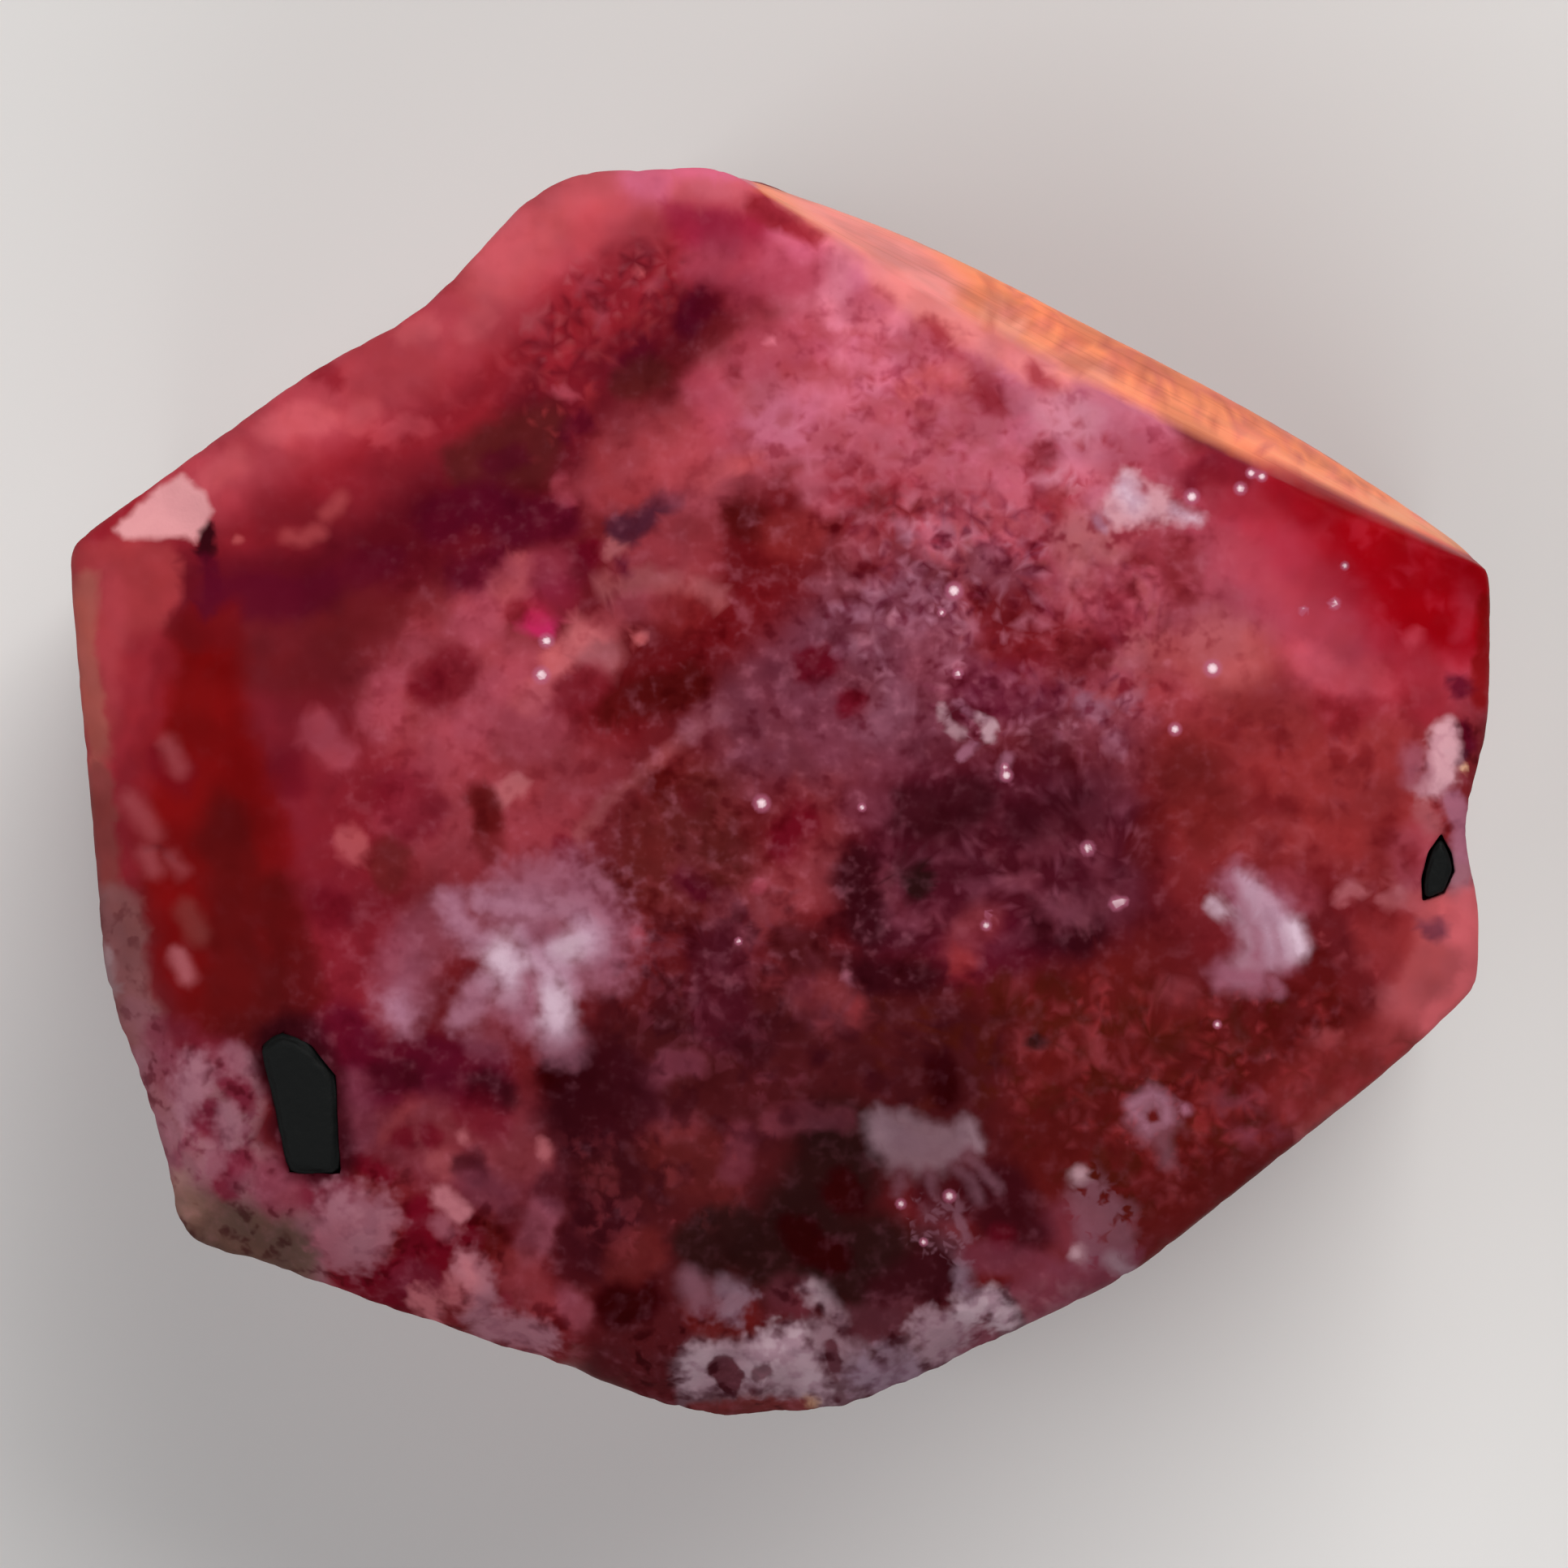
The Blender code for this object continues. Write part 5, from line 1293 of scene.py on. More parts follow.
class Desk:
    """Places the nodes of one material or surround and joins them."""

    def __init__(self, holder: bpy.types.Material | bpy.types.World) -> None:
        """Clears the holder's nodes.

        Args:
            holder: What the nodes belong to.
        """
        holder.use_nodes = True
        self.holder = holder
        self.tree = holder.node_tree
        self.tree.nodes.clear()

    def node(self, kind: str, feeds: dict[str | int, Feed], **settings: object) -> bpy.types.Node:
        """Places one node.

        Args:
            kind: Its type, as Blender names it.
            feeds: What goes into its sockets, by socket name or number.
            **settings: Its own options.

        Returns:
            The node.
        """
        made = self.tree.nodes.new(kind)
        for option, value in settings.items():
            setattr(made, option, value)
        for socket, feed in feeds.items():
            if isinstance(feed, bpy.types.NodeSocket):
                self.tree.links.new(feed, made.inputs[socket])
            else:
                made.inputs[socket].default_value = feed
        return made

    def sum(self, operation: Sum, *values: Feed) -> bpy.types.NodeSocket:
        """A calculation on up to three numbers."""
        return self.node("ShaderNodeMath", dict(enumerate(values)), operation=operation.value).outputs[0]

    def times(self, first: Feed, second: Feed) -> bpy.types.NodeSocket:
        """One number times another."""
        return self.sum(Sum.MULTIPLY, first, second)

    def climb(self, value: Feed, ends: Point, low: float = 0.0, high: float = 1.0) -> bpy.types.NodeSocket:
        """A smooth climb from low to high while the value goes from one of the ends to the other."""
        feeds = {"Value": value, "From Min": ends[0], "From Max": ends[1], "To Min": low, "To Max": high}
        return self.node("ShaderNodeMapRange", feeds, interpolation_type="SMOOTHSTEP").outputs[0]

    def blend(self, manner: Blend, share: Feed, under: Feed, over: Feed) -> bpy.types.NodeSocket:
        """One colour laid over another, as much of it as the share tells."""
        feeds = {0: share, 6: under, 7: over}
        return self.node("ShaderNodeMix", feeds, data_type="RGBA", blend_type=manner.value).outputs[2]

    def millimetres(self) -> bpy.types.NodeSocket:
        """The point being shaded, in the object's own millimetres."""
        feeds = {0: self.node("ShaderNodeTexCoord", {}).outputs["Object"], 1: (1 / MM, 1 / MM, 1 / MM)}
        return self.node("ShaderNodeVectorMath", feeds, operation="MULTIPLY").outputs[0]

    def noise(self, place: Feed, per_mm: float, detail: float, stretch: Numbers = (1.0, 1.0, 1.0)
              ) -> bpy.types.NodeSocket:
        """Noise about 0.5.

        Args:
            place: Points in millimetres.
            per_mm: Billows in a millimetre.
            detail: Octaves beyond the first.
            stretch: How much denser than that it is along each axis.

        Returns:
            The socket that carries it.
        """
        scaled = self.node("ShaderNodeVectorMath", {0: place, 1: stretch}, operation="MULTIPLY").outputs[0]
        feeds = {"Vector": scaled, "Scale": per_mm, "Detail": detail}
        return self.node("ShaderNodeTexNoise", feeds).outputs[0]

    def painted(self, name: str, output: str = "Fac") -> bpy.types.NodeSocket:
        """What was painted on the mesh under a name."""
        return self.node("ShaderNodeAttribute", {}, attribute_name=name).outputs[output]

    def bump(self, height: Feed, strength: float, distance: float) -> bpy.types.NodeSocket:
        """The normal tilted by a height, whose 0 and 1 lie a distance in millimetres apart."""
        feeds = {"Height": height, "Strength": strength, "Distance": distance * MM}
        return self.node("ShaderNodeBump", feeds).outputs[0]

    def finish(self, **shaders: bpy.types.NodeSocket) -> bpy.types.Material:
        """Ends the material with its Surface and, if it has one, its Volume."""
        self.node("ShaderNodeOutputMaterial", shaders)
        return self.holder


@dataclass(frozen=True)
class Speckle:
    """Specks of one colour that come in where the smoke and the patches in the stone both reach a level.

    Attributes:
        colour: Colour that they lighten or darken by.
        smoke: Levels of the smoke between which they come in.
        patches: The same for the patches.
        least: How much of them is left between the patches.
    """

    colour: Colour
    smoke: Point
    patches: Point
    least: float = 0.0

    def share(self, desk: Desk, noise: dict[Cloud, Feed]) -> bpy.types.NodeSocket:
        """How much of them there is."""
        patches = desk.climb(noise[Cloud.PATCHY], self.patches, self.least)
        return desk.times(desk.climb(noise[Cloud.SMOKE], self.smoke), patches)


@dataclass(frozen=True)
class BerylFinish:
    """Red beryl: painted stone under a satin skin, clearer in a few places.

    Unless a line says otherwise, a pair gives the levels of a noise between which something comes in.

    Attributes:
        inside: Colour that light takes on inside the stone, as quickly as density says for each metre.
        grain: How much broad noise lightens and darkens the stone.
        line_noise: Billows in a millimetre, octaves and stretch of the growth lines.
        film_edge: Levels of a filling; ragged tells how far smoke and fine noise shift them.
        glint_edge: Squared radii of a painted highlight, a sparkle, as halo_edge is for the painted glow
            around it.
        relief: Strength and depth of the finest relief, of which smooth stone keeps the share calm.
    """

    name: str = "red_beryl"
    gloss: float = 0.42
    crust_gloss: float = 0.80
    refraction: float = 1.57
    shine: float = 0.05
    sheen: Colour = (0.35, 0.05, 0.06, 1.0)
    inside: Colour = (0.93, 0.05, 0.08, 1.0)
    density: float = 1500.0
    wisp: Speckle = Speckle((0.13, 0.040, 0.058, 1.0), (0.48, 0.74), (0.34, 0.64))
    thread: Point = (0.52, 0.74)
    thread_amid: Point = (0.40, 0.60)
    thread_strength: float = 0.45
    gap: Speckle = Speckle((0.58, 0.26, 0.34, 1.0), (0.52, 0.30), (0.62, 0.40), 0.25)
    pit: Speckle = Speckle((0.58, 0.38, 0.42, 1.0), (0.50, 0.36), (0.60, 0.46))
    warm: Colour = (1.03, 0.96, 0.92, 1.0)
    warm_tracts: Point = (0.42, 0.66)
    grain: float = 0.16
    broad: Point = (0.3, 0.7)
    line_noise: tuple[float, float, Numbers] = (1.1, 4.0, (1.0, 1.0, 15.0))
    line_light: Colour = (0.13, 0.034, 0.030, 1.0)
    line_pale: Point = (0.52, 0.70)
    line_dark: Colour = (0.80, 0.70, 0.66, 1.0)
    line_deep: Point = (0.48, 0.32)
    film_edge: Point = (0.08, 1.02)
    film_shade: Colour = (0.80, 0.70, 0.75, 1.0)
    film_hollows: Point = (0.56, 0.36)
    ragged: Point = (1.5, 0.8)
    glint: Colour = (1.0, 0.74, 0.80, 1.0)
    glint_edge: Point = (1.0, 0.0)
    halo: Colour = (0.48, 0.13, 0.22, 1.0)
    halo_edge: Point = (3.4, 0.3)
    halo_strength: float = 0.7
    relief: Point = (0.5, 0.006)
    calm: float = 0.1

    def _stone(self, desk: Desk, noise: dict[Cloud, Feed], lines: Feed) -> bpy.types.NodeSocket:
        """The stone's own colour: wisps, gaps, warm tracts, broad tone, growth lines and crusty pits.

        Args:
            desk: The desk of the material.
            noise: The noises in the stone.
            lines: The noise of the growth lines.

        Returns:
            The socket of the colour.
        """
        crumble, side = desk.painted("crumble"), desk.painted("side")
        amid = desk.climb(noise[Cloud.SMOKE], self.thread_amid, 0.0, self.thread_strength)
        threads = desk.climb(noise[Cloud.FINE], self.thread)
        light = desk.sum(Sum.MULTIPLY_ADD, threads, amid, self.wisp.share(desk, noise))
        broad = desk.climb(noise[Cloud.COARSE], self.broad, 1 - self.grain, 1 + self.grain)
        tone = desk.node("ShaderNodeCombineColor", {0: broad, 1: broad, 2: broad}).outputs[0]
        layers = (
            (Blend.LIGHTEN, desk.times(light, crumble), self.wisp.colour),
            (Blend.TINT, desk.times(self.gap.share(desk, noise), crumble), self.gap.colour),
            (Blend.TINT, desk.climb(noise[Cloud.BLUSH], self.warm_tracts), self.warm),
            (Blend.TINT, 1.0, tone),
            (Blend.LIGHTEN, desk.times(side, desk.climb(lines, self.line_pale)), self.line_light),
            (Blend.TINT, desk.times(side, desk.climb(lines, self.line_deep)), self.line_dark),
            (Blend.TINT, desk.times(self.pit.share(desk, noise), desk.painted("grit")), self.pit.colour),
        )
        body = desk.painted("beryl_colour", "Color")
        for manner, share, colour in layers:
            body = desk.blend(manner, share, body, colour)
        return body

    def make(self) -> bpy.types.Material:
        """Builds the material from what is painted on the crystal.

        Returns:
            The material.
        """
        desk = Desk(bpy.data.materials.new(self.name))
        place = desk.millimetres()
        noise = {cloud: desk.noise(place, *cloud.value) for cloud in Cloud}
        smoke, fine = noise[Cloud.SMOKE], noise[Cloud.FINE]
        grit, crumble, glint = desk.painted("grit"), desk.painted("crumble"), desk.painted("glint")

        # the edges of the fillings are ragged where the stone is loose
        loose = desk.sum(Sum.MAXIMUM, crumble, grit)
        edge = desk.times(desk.sum(Sum.SUBTRACT, smoke, 0.5), self.ragged[0])
        edge = desk.sum(Sum.MULTIPLY_ADD, desk.sum(Sum.SUBTRACT, fine, 0.5), self.ragged[1], edge)
        edge = desk.sum(Sum.MULTIPLY_ADD, edge, loose, desk.painted("film_level"))
        cover = desk.times(desk.climb(edge, self.film_edge), desk.painted("film_colour", "Alpha"))
        hollows = desk.times(desk.climb(smoke, self.film_hollows), loose)
        film = desk.blend(Blend.TINT, hollows, desk.painted("film_colour", "Color"), self.film_shade)
        surface = self._stone(desk, noise, desk.noise(place, *self.line_noise))
        surface = desk.blend(Blend.COVER, cover, surface, film)
        # painted highlights: a pink glow and then a pale sparkle laid into the colour around each glint
        glow = desk.climb(glint, self.halo_edge, 0.0, self.halo_strength)
        surface = desk.blend(Blend.COVER, glow, surface, self.halo)
        surface = desk.blend(Blend.COVER, desk.climb(glint, self.glint_edge), surface, self.glint)

        crusted = desk.sum(Sum.MAXIMUM, cover, grit)
        bare = desk.sum(Sum.SUBTRACT, 1.0, crusted)
        height = desk.times(noise[Cloud.FINEST], desk.climb(crusted, WHOLE, self.calm))
        height = desk.sum(Sum.MULTIPLY_ADD, fine, desk.climb(crumble, WHOLE, self.calm), height)
        feeds = {
            "Base Color": surface,
            "Roughness": desk.climb(crusted, WHOLE, self.gloss, self.crust_gloss),
            "IOR": self.refraction,
            "Specular IOR Level": self.shine,
            "Specular Tint": self.sheen,
            "Transmission Weight": desk.times(desk.painted("beryl_colour", "Alpha"), bare),
            "Normal": desk.bump(height, *self.relief),
        }
        shader = desk.node("ShaderNodeBsdfPrincipled", feeds)
        inside = desk.node("ShaderNodeVolumeAbsorption", {"Color": self.inside, "Density": self.density})
        return desk.finish(Surface=shader.outputs[0], Volume=inside.outputs[0])


@dataclass(frozen=True)
class PlainFinish:
    """A finish of one colour, which may be pitted.

    Attributes:
        pits: Billows in a millimetre, octaves, strength and depth of its pits; empty without pits.
    """

    name: str
    colour: Colour
    gloss: float
    shine: float
    pits: Numbers = ()

    def make(self) -> bpy.types.Material:
        """Builds the material.

        Returns:
            The material.
        """
        desk = Desk(bpy.data.materials.new(self.name))
        feeds = {"Base Color": self.colour, "Roughness": self.gloss, "Specular IOR Level": self.shine}
        if self.pits:
            per_mm, detail, strength, depth = self.pits
            feeds["Normal"] = desk.bump(desk.noise(desk.millimetres(), per_mm, detail), strength, depth)
        return desk.finish(Surface=desk.node("ShaderNodeBsdfPrincipled", feeds).outputs[0])


BIXBYITE = PlainFinish("bixbyite", (0.0050, 0.0056, 0.0056, 1.0), 0.6, 0.10, (14.0, 3.0, 0.5, 0.02))
FLOOR = PlainFinish("floor", (0.78, 0.77, 0.76, 1.0), 0.85, 0.2)


# ---- pieces ----


@dataclass
class Piece:
    """A piece that stands in for one plain solid.

    Attributes:
        node: Name of the plain solid.
        crease_from: Angle between faces, in degrees, from which an edge stays sharp.
        crease: How sharp such an edge stays, 0 to 1.
        merge: Distance in metres up to which two points are one.
        splits: How often smoothing splits each face.
    """

    node: str
    name: str
    crease_from: float
    crease: float
    merge: float
    splits: int

    def solid(self) -> bmesh.types.BMesh:
        """The plain solid, with its doubled points joined.

        Returns:
            A copy of it.
        """
        bm = bmesh.new()
        bm.from_mesh(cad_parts[self.node].data)
        bmesh.ops.remove_doubles(bm, verts=bm.verts, dist=self.merge)
        return bm

    def smoothed(self, bm: bmesh.types.BMesh) -> bpy.types.Mesh:
        """The solid after a subdivision surface that keeps its sharp edges.

        Args:
            bm: The solid, which is used up.

        Returns:
            The smooth mesh.
        """
        sharpness = bm.edges.layers.float.get("crease_edge") or bm.edges.layers.float.new("crease_edge")
        for edge in bm.edges:
            if len(edge.link_faces) == 2 and edge.calc_face_angle(0.0) > math.radians(self.crease_from):
                edge[sharpness] = self.crease
        coarse = bpy.data.meshes.new("coarse")
        bm.to_mesh(coarse)
        bm.free()
        helper = bpy.data.objects.new("helper", coarse)
        bpy.context.scene.collection.objects.link(helper)
        modifier = helper.modifiers.new("smooth", "SUBSURF")
        modifier.levels = self.splits
        modifier.render_levels = self.splits
        graph = bpy.context.evaluated_depsgraph_get()
        fine = bpy.data.meshes.new_from_object(helper.evaluated_get(graph))
        bpy.data.objects.remove(helper)
        bpy.data.meshes.remove(coarse)
        fine.name = self.name
        return fine

    def points(self, mesh: bpy.types.Mesh) -> tuple[np.ndarray, np.ndarray]:
        """The points of a mesh.

        Args:
            mesh: The mesh.

        Returns:
            Their places in millimetres, and their normals.
        """
        both = []
        for reading in ("co", "normal"):
            values = np.empty(len(mesh.vertices) * 3)
            mesh.vertices.foreach_get(reading, values)
            both.append(values.reshape(-1, 3))
        return both[0] / MM, both[1]

    def box(self) -> tuple[np.ndarray, np.ndarray]:
        """The two corners of the plain solid's box, in millimetres."""
        low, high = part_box(self.node)
        return np.array(low) / MM, np.array(high) / MM

    def placed(self, mesh: bpy.types.Mesh, places: np.ndarray, finish: bpy.types.Material
               ) -> bpy.types.Object:
        """Makes the mesh an object of the scene, riding the crystal's own frame.

        Args:
            mesh: The mesh.
            places: Where its points go, in millimetres.
            finish: Its material.

        Returns:
            The object.
        """
        mesh.vertices.foreach_set("co", (places * MM).ravel())
        mesh.materials.clear()
        mesh.materials.append(finish)
        mesh.polygons.foreach_set("material_index", np.zeros(len(mesh.polygons), int))
        mesh.polygons.foreach_set("use_smooth", np.ones(len(mesh.polygons), bool))
        piece = bpy.data.objects.new(self.name, mesh)
        bpy.context.scene.collection.objects.link(piece)
        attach(piece, "root")
        log.info("%s: %d triangles", self.name, sum(len(face.vertices) - 2 for face in mesh.polygons))
        return piece


@dataclass(frozen=True)
class Skin:
    """What is known of every point of the crystal's surface.

    Attributes:
        spots: Where it lies on the chart.
        depth: How far below the rim it is, and 0 on the end face.
        wall: How much of it is painted as wall, 0 to 1.
        grit: How much of it is rough crust, 0 to 1.
    """

    places: np.ndarray
    normals: np.ndarray
    spots: np.ndarray
    depth: np.ndarray
    wall: np.ndarray
    grit: np.ndarray


@dataclass
class Crystal(Piece):
    """The crystal: refined, roughened and painted from the plain solid.

    Each pair of numbers gives two places between which something sets in or dies out.

    Attributes:
        downward: Upward part of the normal of a face below which it belongs to the base.
        upward: The same above which a face over face_floor belongs to the end face.
        budget: Most triangles.
        split_cost: Triangles that one more split face adds.
        striation: Depth of the level growth lines, which lie where the surface is steep.
        grit_fade: Depths below the rim; film_fade and side_fade too.
        foot: Heights of the rough foot.
        crumble: How crumbly the end face looks where no marking says otherwise.
        strip_lines: How strong the growth lines are on the upper part of the north-east wall.
    """

    node: str = "beryl_crystal"
    name: str = "crystal"
    crease_from: float = 33.0
    crease: float = 0.75
    merge: float = 1e-6
    splits: int = 2
    downward: float = -0.90
    upward: float = 0.30
    face_floor: float = 6.6
    budget: int = 192_000
    split_cost: float = 6.6
    ripple: float = 0.005
    ripple_span: float = 0.16
    crust: float = 0.030
    crust_span: float = 0.20
    crust_shift: float = 5.0
    striation: float = 0.010
    striation_span: Numbers = (1.7, 1.7, 0.07)
    striation_shift: float = 9.0
    steep: Point = (0.7, 0.3)
    grit_fade: Point = (0.4, 1.2)
    foot: Point = (1.0, 0.3)
    foot_grit: float = 0.5
    film_fade: Point = (0.2, 0.9)
    side_fade: Point = (0.0, 0.25)
    crumble: float = 0.42
    strip_lines: float = 0.45
    wall_clarity: float = 0.12
    base_slack: float = 0.001
    seed: int = 41
    chart: Chart = Chart()
    paint: EndFace = field(default_factory=EndFace)
    walls: WallPaint = WallPaint()

    def _region(self, face: bmesh.types.BMFace) -> Region:
        """The region that a face of the plain solid belongs to.

        Args:
            face: The face.

        Returns:
            Its region.
        """
        if face.normal.z < self.downward:
            return Region.BASE
        high = face.calc_center_median().z > self.face_floor * MM
        return Region.END_FACE if high and face.normal.z > self.upward else Region.WALL

    def _sorted(self) -> bmesh.types.BMesh:
        """The plain solid with its regions marked and its walls in quadrilaterals.

        Returns:
            The solid, each face numbered by its region.
        """
        bm = self.solid()
        bm.normal_update()
        for face in bm.faces:
            face.material_index = self._region(face).value
        walls = [face for face in bm.faces if face.material_index == Region.WALL.value]
        bmesh.ops.join_triangles(bm, faces=walls, angle_face_threshold=0.9, angle_shape_threshold=1.2,
                                 cmp_materials=True)
        return bm

    def _refine(self, mesh: bpy.types.Mesh) -> None:
        """Splits the faces of the end face that lie nearest to the crispest markings, within the budget.

        Args:
            mesh: The smooth mesh, which is changed.
        """
        bm = bmesh.new()
        bm.from_mesh(mesh)
        bm.faces.ensure_lookup_table()
        count = sum(len(face.verts) - 2 for face in bm.faces)
        numbers = np.array([f.index for f in bm.faces if f.material_index == Region.END_FACE.value])
        middles = np.array([bm.faces[i].calc_center_median() for i in numbers]) / MM
        spots = self.chart.of(middles)
        _, _, level = self.paint.film(spots)
        edge = level - np.maximum(level - 1.0, 0) * 2
        nearness = np.maximum(edge, 1.0 - self.paint.glints(spots) / EndFace.GLINT_RANGE)
        wanted = int((self.budget - count) / self.split_cost)
        chosen = numbers[np.argsort(-nearness)[:wanted]]
        edges = {edge for i in chosen for edge in bm.faces[i].edges}
        bmesh.ops.subdivide_edges(bm, edges=list(edges), cuts=1, use_grid_fill=True)
        bm.to_mesh(mesh)
        bm.free()

    def _touched(self, mesh: bpy.types.Mesh, region: Region) -> np.ndarray:
        """Which points belong to a face of a region.

        Args:
            mesh: The mesh, its faces numbered by region.
            region: The region.

        Returns:
            True for each such point.
        """
        regions, corners = np.empty(len(mesh.polygons), int), np.empty(len(mesh.loops), int)
        counts = np.empty(len(mesh.polygons), int)
        mesh.polygons.foreach_get("material_index", regions)
        mesh.polygons.foreach_get("loop_total", counts)
        mesh.loops.foreach_get("vertex_index", corners)
        touched = np.zeros(len(mesh.vertices), bool)
        touched[corners[np.repeat(regions, counts) == region.value]] = True
        return touched

    def _skin(self, mesh: bpy.types.Mesh) -> Skin:
        """Reads the points of the mesh and what each of them is part of.

        Args:
            mesh: The refined mesh, its faces numbered by region.

        Returns:
            What is known of every point.
        """
        places, normals = self.points(mesh)
        on_face = self._touched(mesh, Region.END_FACE)
        rim = Rim.through(places[on_face & self._touched(mesh, Region.WALL)])
        depth = np.where(on_face, 0.0, rim.depth(places))
        spots = self.chart.of(places)
        grit = self.paint.amount(spots, GRITTY) * (1 - ramp(*self.grit_fade, depth))
        grit = np.maximum(grit, self.foot_grit * ramp(*self.foot, places[:, 2]))
        return Skin(places, normals, spots, depth, self.walls.share(places, depth), grit)

    def _raised(self, skin: Skin) -> np.ndarray:
        """The fine relief: ripple, crust and growth lines, kept inside the solid's box and off its base.

        Args:
            skin: The points.

        Returns:
            Their new places.
        """
        rough = Clouds(self.seed)
        raised = self.ripple * rough.at(skin.places, self.ripple_span, 3)
        raised += skin.grit * self.crust * rough.at(skin.places + self.crust_shift, self.crust_span, 3)
        lines = self.striation * rough.at(skin.places + self.striation_shift, self.striation_span, 2)
        raised += lines * skin.wall * ramp(*self.steep, np.abs(skin.normals[:, 2]))
        moved = skin.places + skin.normals * raised[:, None]
        low, high = self.box()
        on_base = skin.places[:, 2] < low[2] + self.base_slack
        moved[on_base] = skin.places[on_base]
        return np.clip(moved, low, high)

    def _dress(self, mesh: bpy.types.Mesh, skin: Skin) -> None:
        """Paints every point.

        Args:
            mesh: The mesh.
            skin: Its points.
        """
        face, spots, end = self.paint, skin.spots, 1 - skin.wall
        colour = face.ground(spots)
        colour += skin.wall[:, None] * (self.walls.colour(skin.places) - colour)
        clarity = face.amount(spots, CLEAR) * end + self.wall_clarity * skin.wall
        colour = np.minimum(colour / (1 - clarity)[:, None], 1.0)
        film, strength, level = face.film(spots)
        gone = ramp(*self.film_fade, skin.depth)
        lines = self.strip_lines + (1 - self.strip_lines) * skin.wall
        layers = {
            "beryl_colour": np.column_stack([colour, clarity]),
            "film_colour": np.column_stack([film, strength]),
            "film_level": level * (1 - gone) - 0.5 * gone,
            "glint": np.where(skin.depth > self.film_fade[0], EndFace.GLINT_RANGE, face.glints(spots)),
            "grit": skin.grit,
            "crumble": face.amount(spots, TEXTURE, self.crumble) * end,
            "side": ramp(*self.side_fade, skin.depth) * lines,
        }
        for name, values in layers.items():
            kind, entry = ("FLOAT", "value") if values.ndim == 1 else ("FLOAT_COLOR", "color")
            layer = mesh.attributes.new(name, kind, "POINT")
            layer.data.foreach_set(entry, values.astype(np.float32).ravel())

    def build(self) -> bpy.types.Object:
        """Builds the crystal.

        Returns:
            The crystal.
        """
        mesh = self.smoothed(self._sorted())
        self._refine(mesh)
        skin = self._skin(mesh)
        self._dress(mesh, skin)
        piece = self.placed(mesh, self._raised(skin), BerylFinish().make())
        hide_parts(self.node)
        return piece


@dataclass
class BlackGrain(Piece):
    """A grain of bixbyite that sits in a pocket of the end face.

    Attributes:
        swelling: How far its sides bulge against the walls of its pocket.
        pitting: Depth of the pits of its surface.
    """

    crease_from: float = 25.0
    crease: float = 0.45
    merge: float = 1e-7
    splits: int = 3
    swelling: float = 0.045
    pitting: float = 0.012
    pit_span: float = 0.12
    seed: int = 61

    def build(self, finish: bpy.types.Material) -> bpy.types.Object:
        """Builds the grain.

        Args:
            finish: Its material.

        Returns:
            The grain.
        """
        mesh = self.smoothed(self.solid())
        places, normals = self.points(mesh)
        pits = self.pitting * Clouds(self.seed).at(places, self.pit_span, 2)
        swell = np.array([self.swelling, self.swelling, 0.0])
        low, high = self.box()
        moved = np.clip(places + normals * (pits[:, None] + swell), low - swell, high + swell)
        moved = np.clip(moved, *(np.array(corner) / MM for corner in CAD_BOX))
        piece = self.placed(mesh, moved, finish)
        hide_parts(self.node)
        return piece


# ---- studio ----


@dataclass(frozen=True)
class Lamp:
    """One soft square lamp.

    Attributes:
        bearing: Degrees anticlockwise from east.
        height: Degrees above the floor.
        distance: Metres from the middle of the end face; size is in metres too.
        power: Watts.
    """

    name: str
    bearing: float
    height: float
    distance: float
    size: float
    power: float
    colour: Colour

    def put(self, aim: Vector) -> None:
        """Hangs the lamp.

        Args:
            aim: What it faces.
        """
        light = bpy.data.lights.new(self.name, "AREA")
        light.shape = "SQUARE"
        light.size = self.size
        light.energy = self.power
        light.color = self.colour
        lamp = bpy.data.objects.new(self.name, light)
        level, up = math.radians(self.bearing), math.radians(self.height)
        way = Vector((math.cos(up) * math.cos(level), math.cos(up) * math.sin(level), math.sin(up)))
        lamp.location = aim + way * self.distance
        lamp.rotation_euler = way.to_track_quat("Z", "Y").to_euler()
        bpy.context.scene.collection.objects.link(lamp)


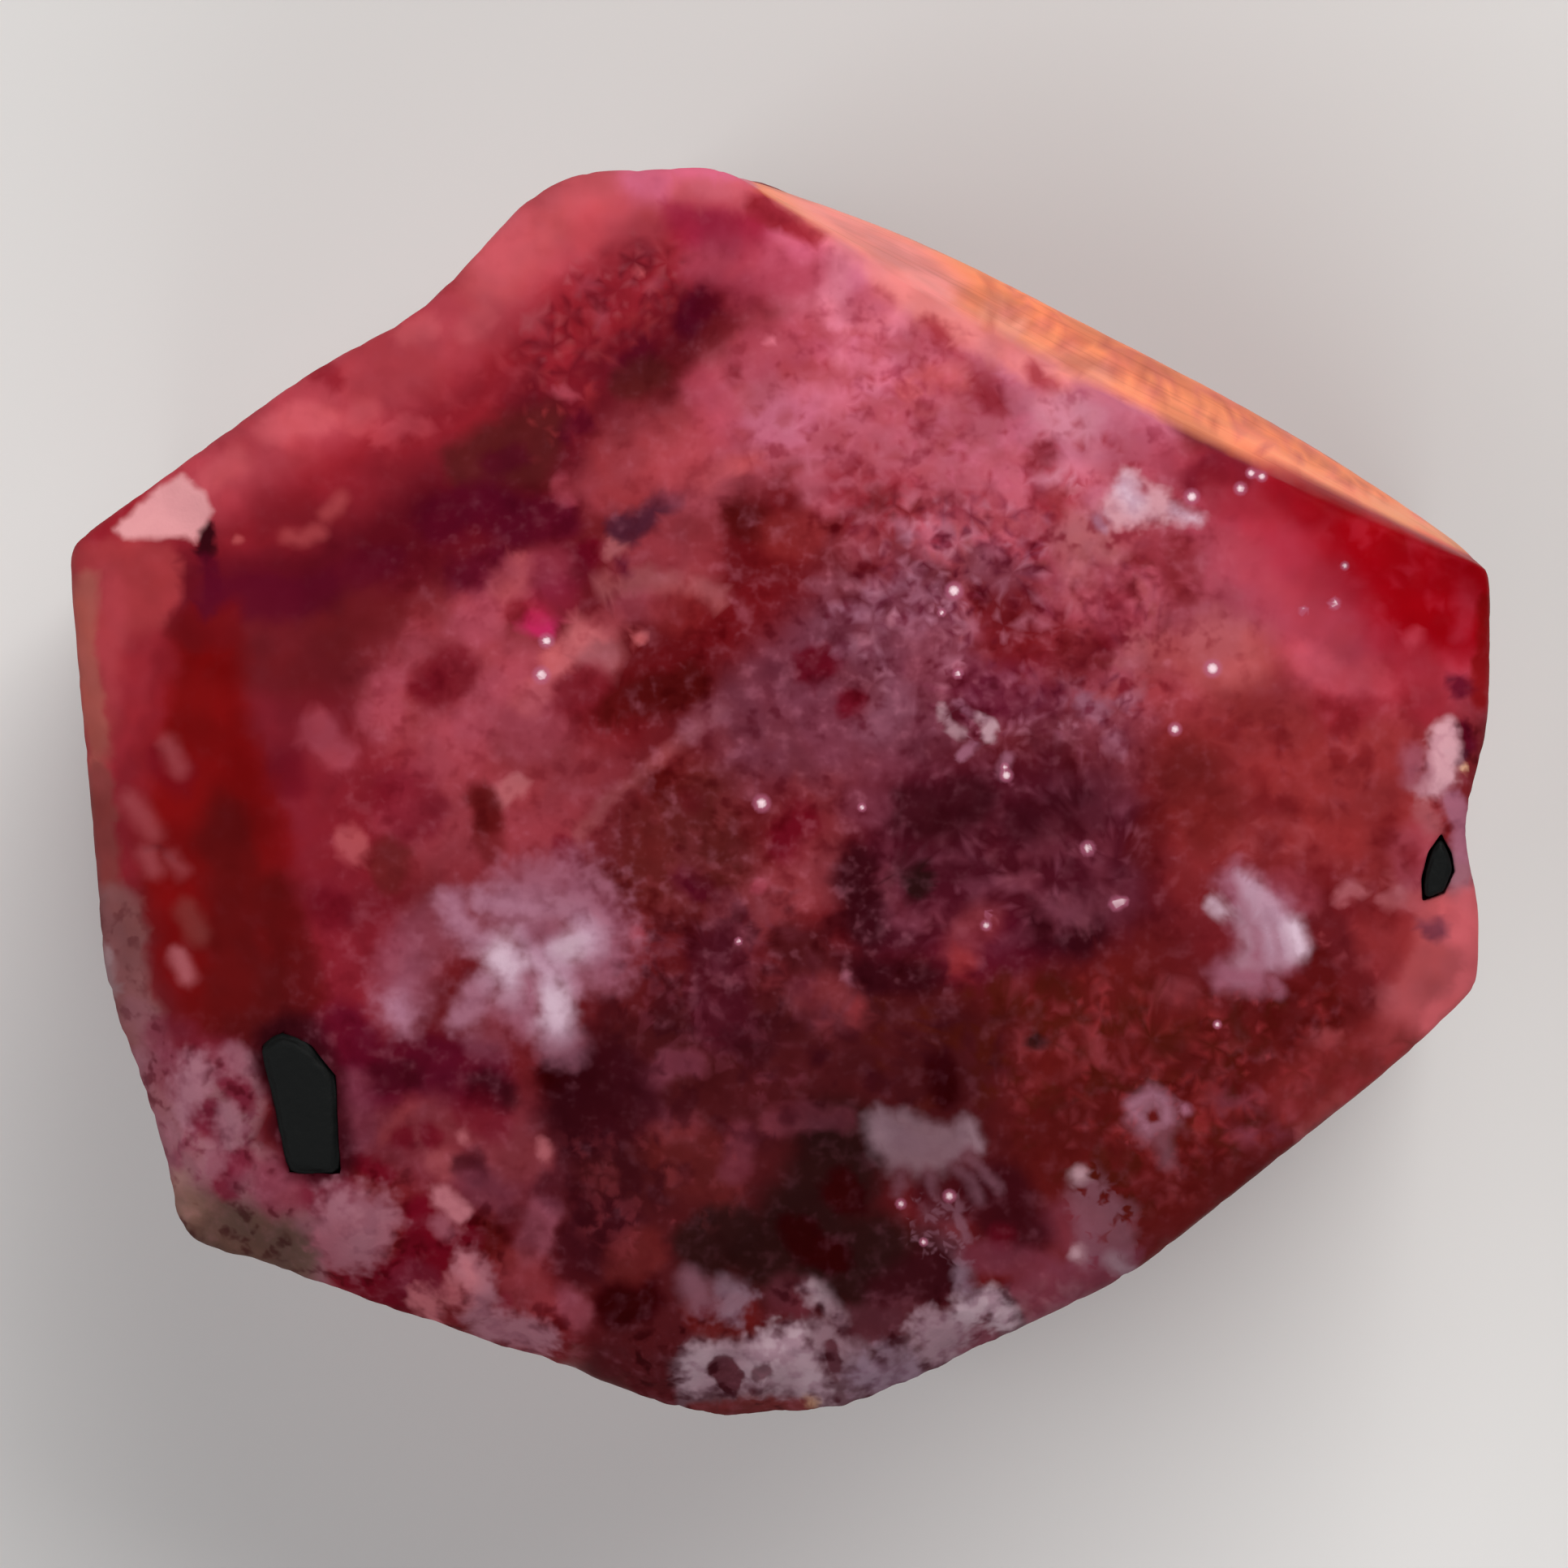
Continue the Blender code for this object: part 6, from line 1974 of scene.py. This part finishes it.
@dataclass
class Studio:
    """A pale floor, soft lamps, a plain surround and the camera.

    Attributes:
        floor_reach: Half the side of the floor, in metres.
        aim: Point that the camera looks at.
        tilt: Degrees by which the camera leans from straight down, in the floor direction lean.
        near: Metres before the camera that it doesn't see.
        fall: Upward parts of a direction between which the surround goes from horizon to zenith.
    """

    floor_reach: float = 0.6
    aim: Numbers = (0.074, 0.124, 8.0)
    tilt: float = 3.0
    lean: Point = (0.469, 0.883)
    distance: float = 67.2
    lens: float = 200.0
    sensor: float = 36.0
    near: float = 0.001
    fall: Point = (0.15, 0.85)
    horizon: float = 0.25
    zenith: float = 0.02
    lamps: tuple[Lamp, ...] = (
        Lamp("key", 62.0, 48.0, 0.22, 0.14, 0.39, (1.0, 0.985, 0.96)),
        Lamp("west fill", 190.0, 42.0, 0.24, 0.20, 0.215, (0.97, 0.985, 1.0)),
        Lamp("south fill", 285.0, 45.0, 0.24, 0.20, 0.17, (0.98, 0.99, 1.0)),
    )

    def _floor(self) -> None:
        """Lays the floor."""
        bm = bmesh.new()
        bmesh.ops.create_grid(bm, x_segments=1, y_segments=1, size=self.floor_reach)
        mesh = bpy.data.meshes.new("floor")
        bm.to_mesh(mesh)
        bm.free()
        mesh.materials.append(FLOOR.make())
        floor = bpy.data.objects.new("floor", mesh)
        bpy.context.scene.collection.objects.link(floor)

    def _surround(self) -> None:
        """A surround that is pale at the horizon and dim overhead."""
        world = bpy.data.worlds.new("surround")
        desk = Desk(world)
        way = desk.node("ShaderNodeTexCoord", {}).outputs["Generated"]
        feeds = {
            "Value": desk.node("ShaderNodeSeparateXYZ", {0: way}).outputs["Z"],
            "From Min": self.fall[0],
            "From Max": self.fall[1],
            "To Min": self.horizon,
            "To Max": self.zenith,
        }
        glow = desk.node("ShaderNodeMapRange", feeds).outputs[0]
        light = desk.node("ShaderNodeBackground", {"Color": glow})
        desk.node("ShaderNodeOutputWorld", {"Surface": light.outputs[0]})
        bpy.context.scene.world = world

    def _camera(self) -> None:
        """Sets the camera over the end face."""
        camera = bpy.data.cameras.new("camera")
        camera.lens = self.lens
        camera.sensor_width = self.sensor
        camera.clip_start = self.near
        tilt = math.radians(self.tilt)
        way = Vector((math.sin(tilt) * self.lean[0], math.sin(tilt) * self.lean[1], math.cos(tilt)))
        eye = bpy.data.objects.new("camera", camera)
        eye.location = Vector(self.aim) * MM + way * self.distance * MM
        right = Vector((0.0, 1.0, 0.0)).cross(way).normalized()
        eye.rotation_euler = Matrix((right, way.cross(right), way)).transposed().to_euler()
        bpy.context.scene.collection.objects.link(eye)
        bpy.context.scene.camera = eye

    def build(self) -> None:
        """Sets up the whole studio."""
        self._floor()
        self._surround()
        for lamp in self.lamps:
            lamp.put(Vector(self.aim) * MM)
        self._camera()
        bpy.context.scene.view_settings.view_transform = "Standard"
        log.info("studio: floor, %d lamps and camera", len(self.lamps))


def main() -> None:
    """Builds every piece in order."""
    logging.basicConfig(level=logging.INFO, format="%(name)s: %(message)s")
    Crystal().build()
    black = BIXBYITE.make()
    BlackGrain("bixbyite_long_grain", "long_grain").build(black)
    BlackGrain("bixbyite_rim_grain", "rim_grain", swelling=0.01).build(black)
    Studio().build()


if __name__ == "__main__":
    main()
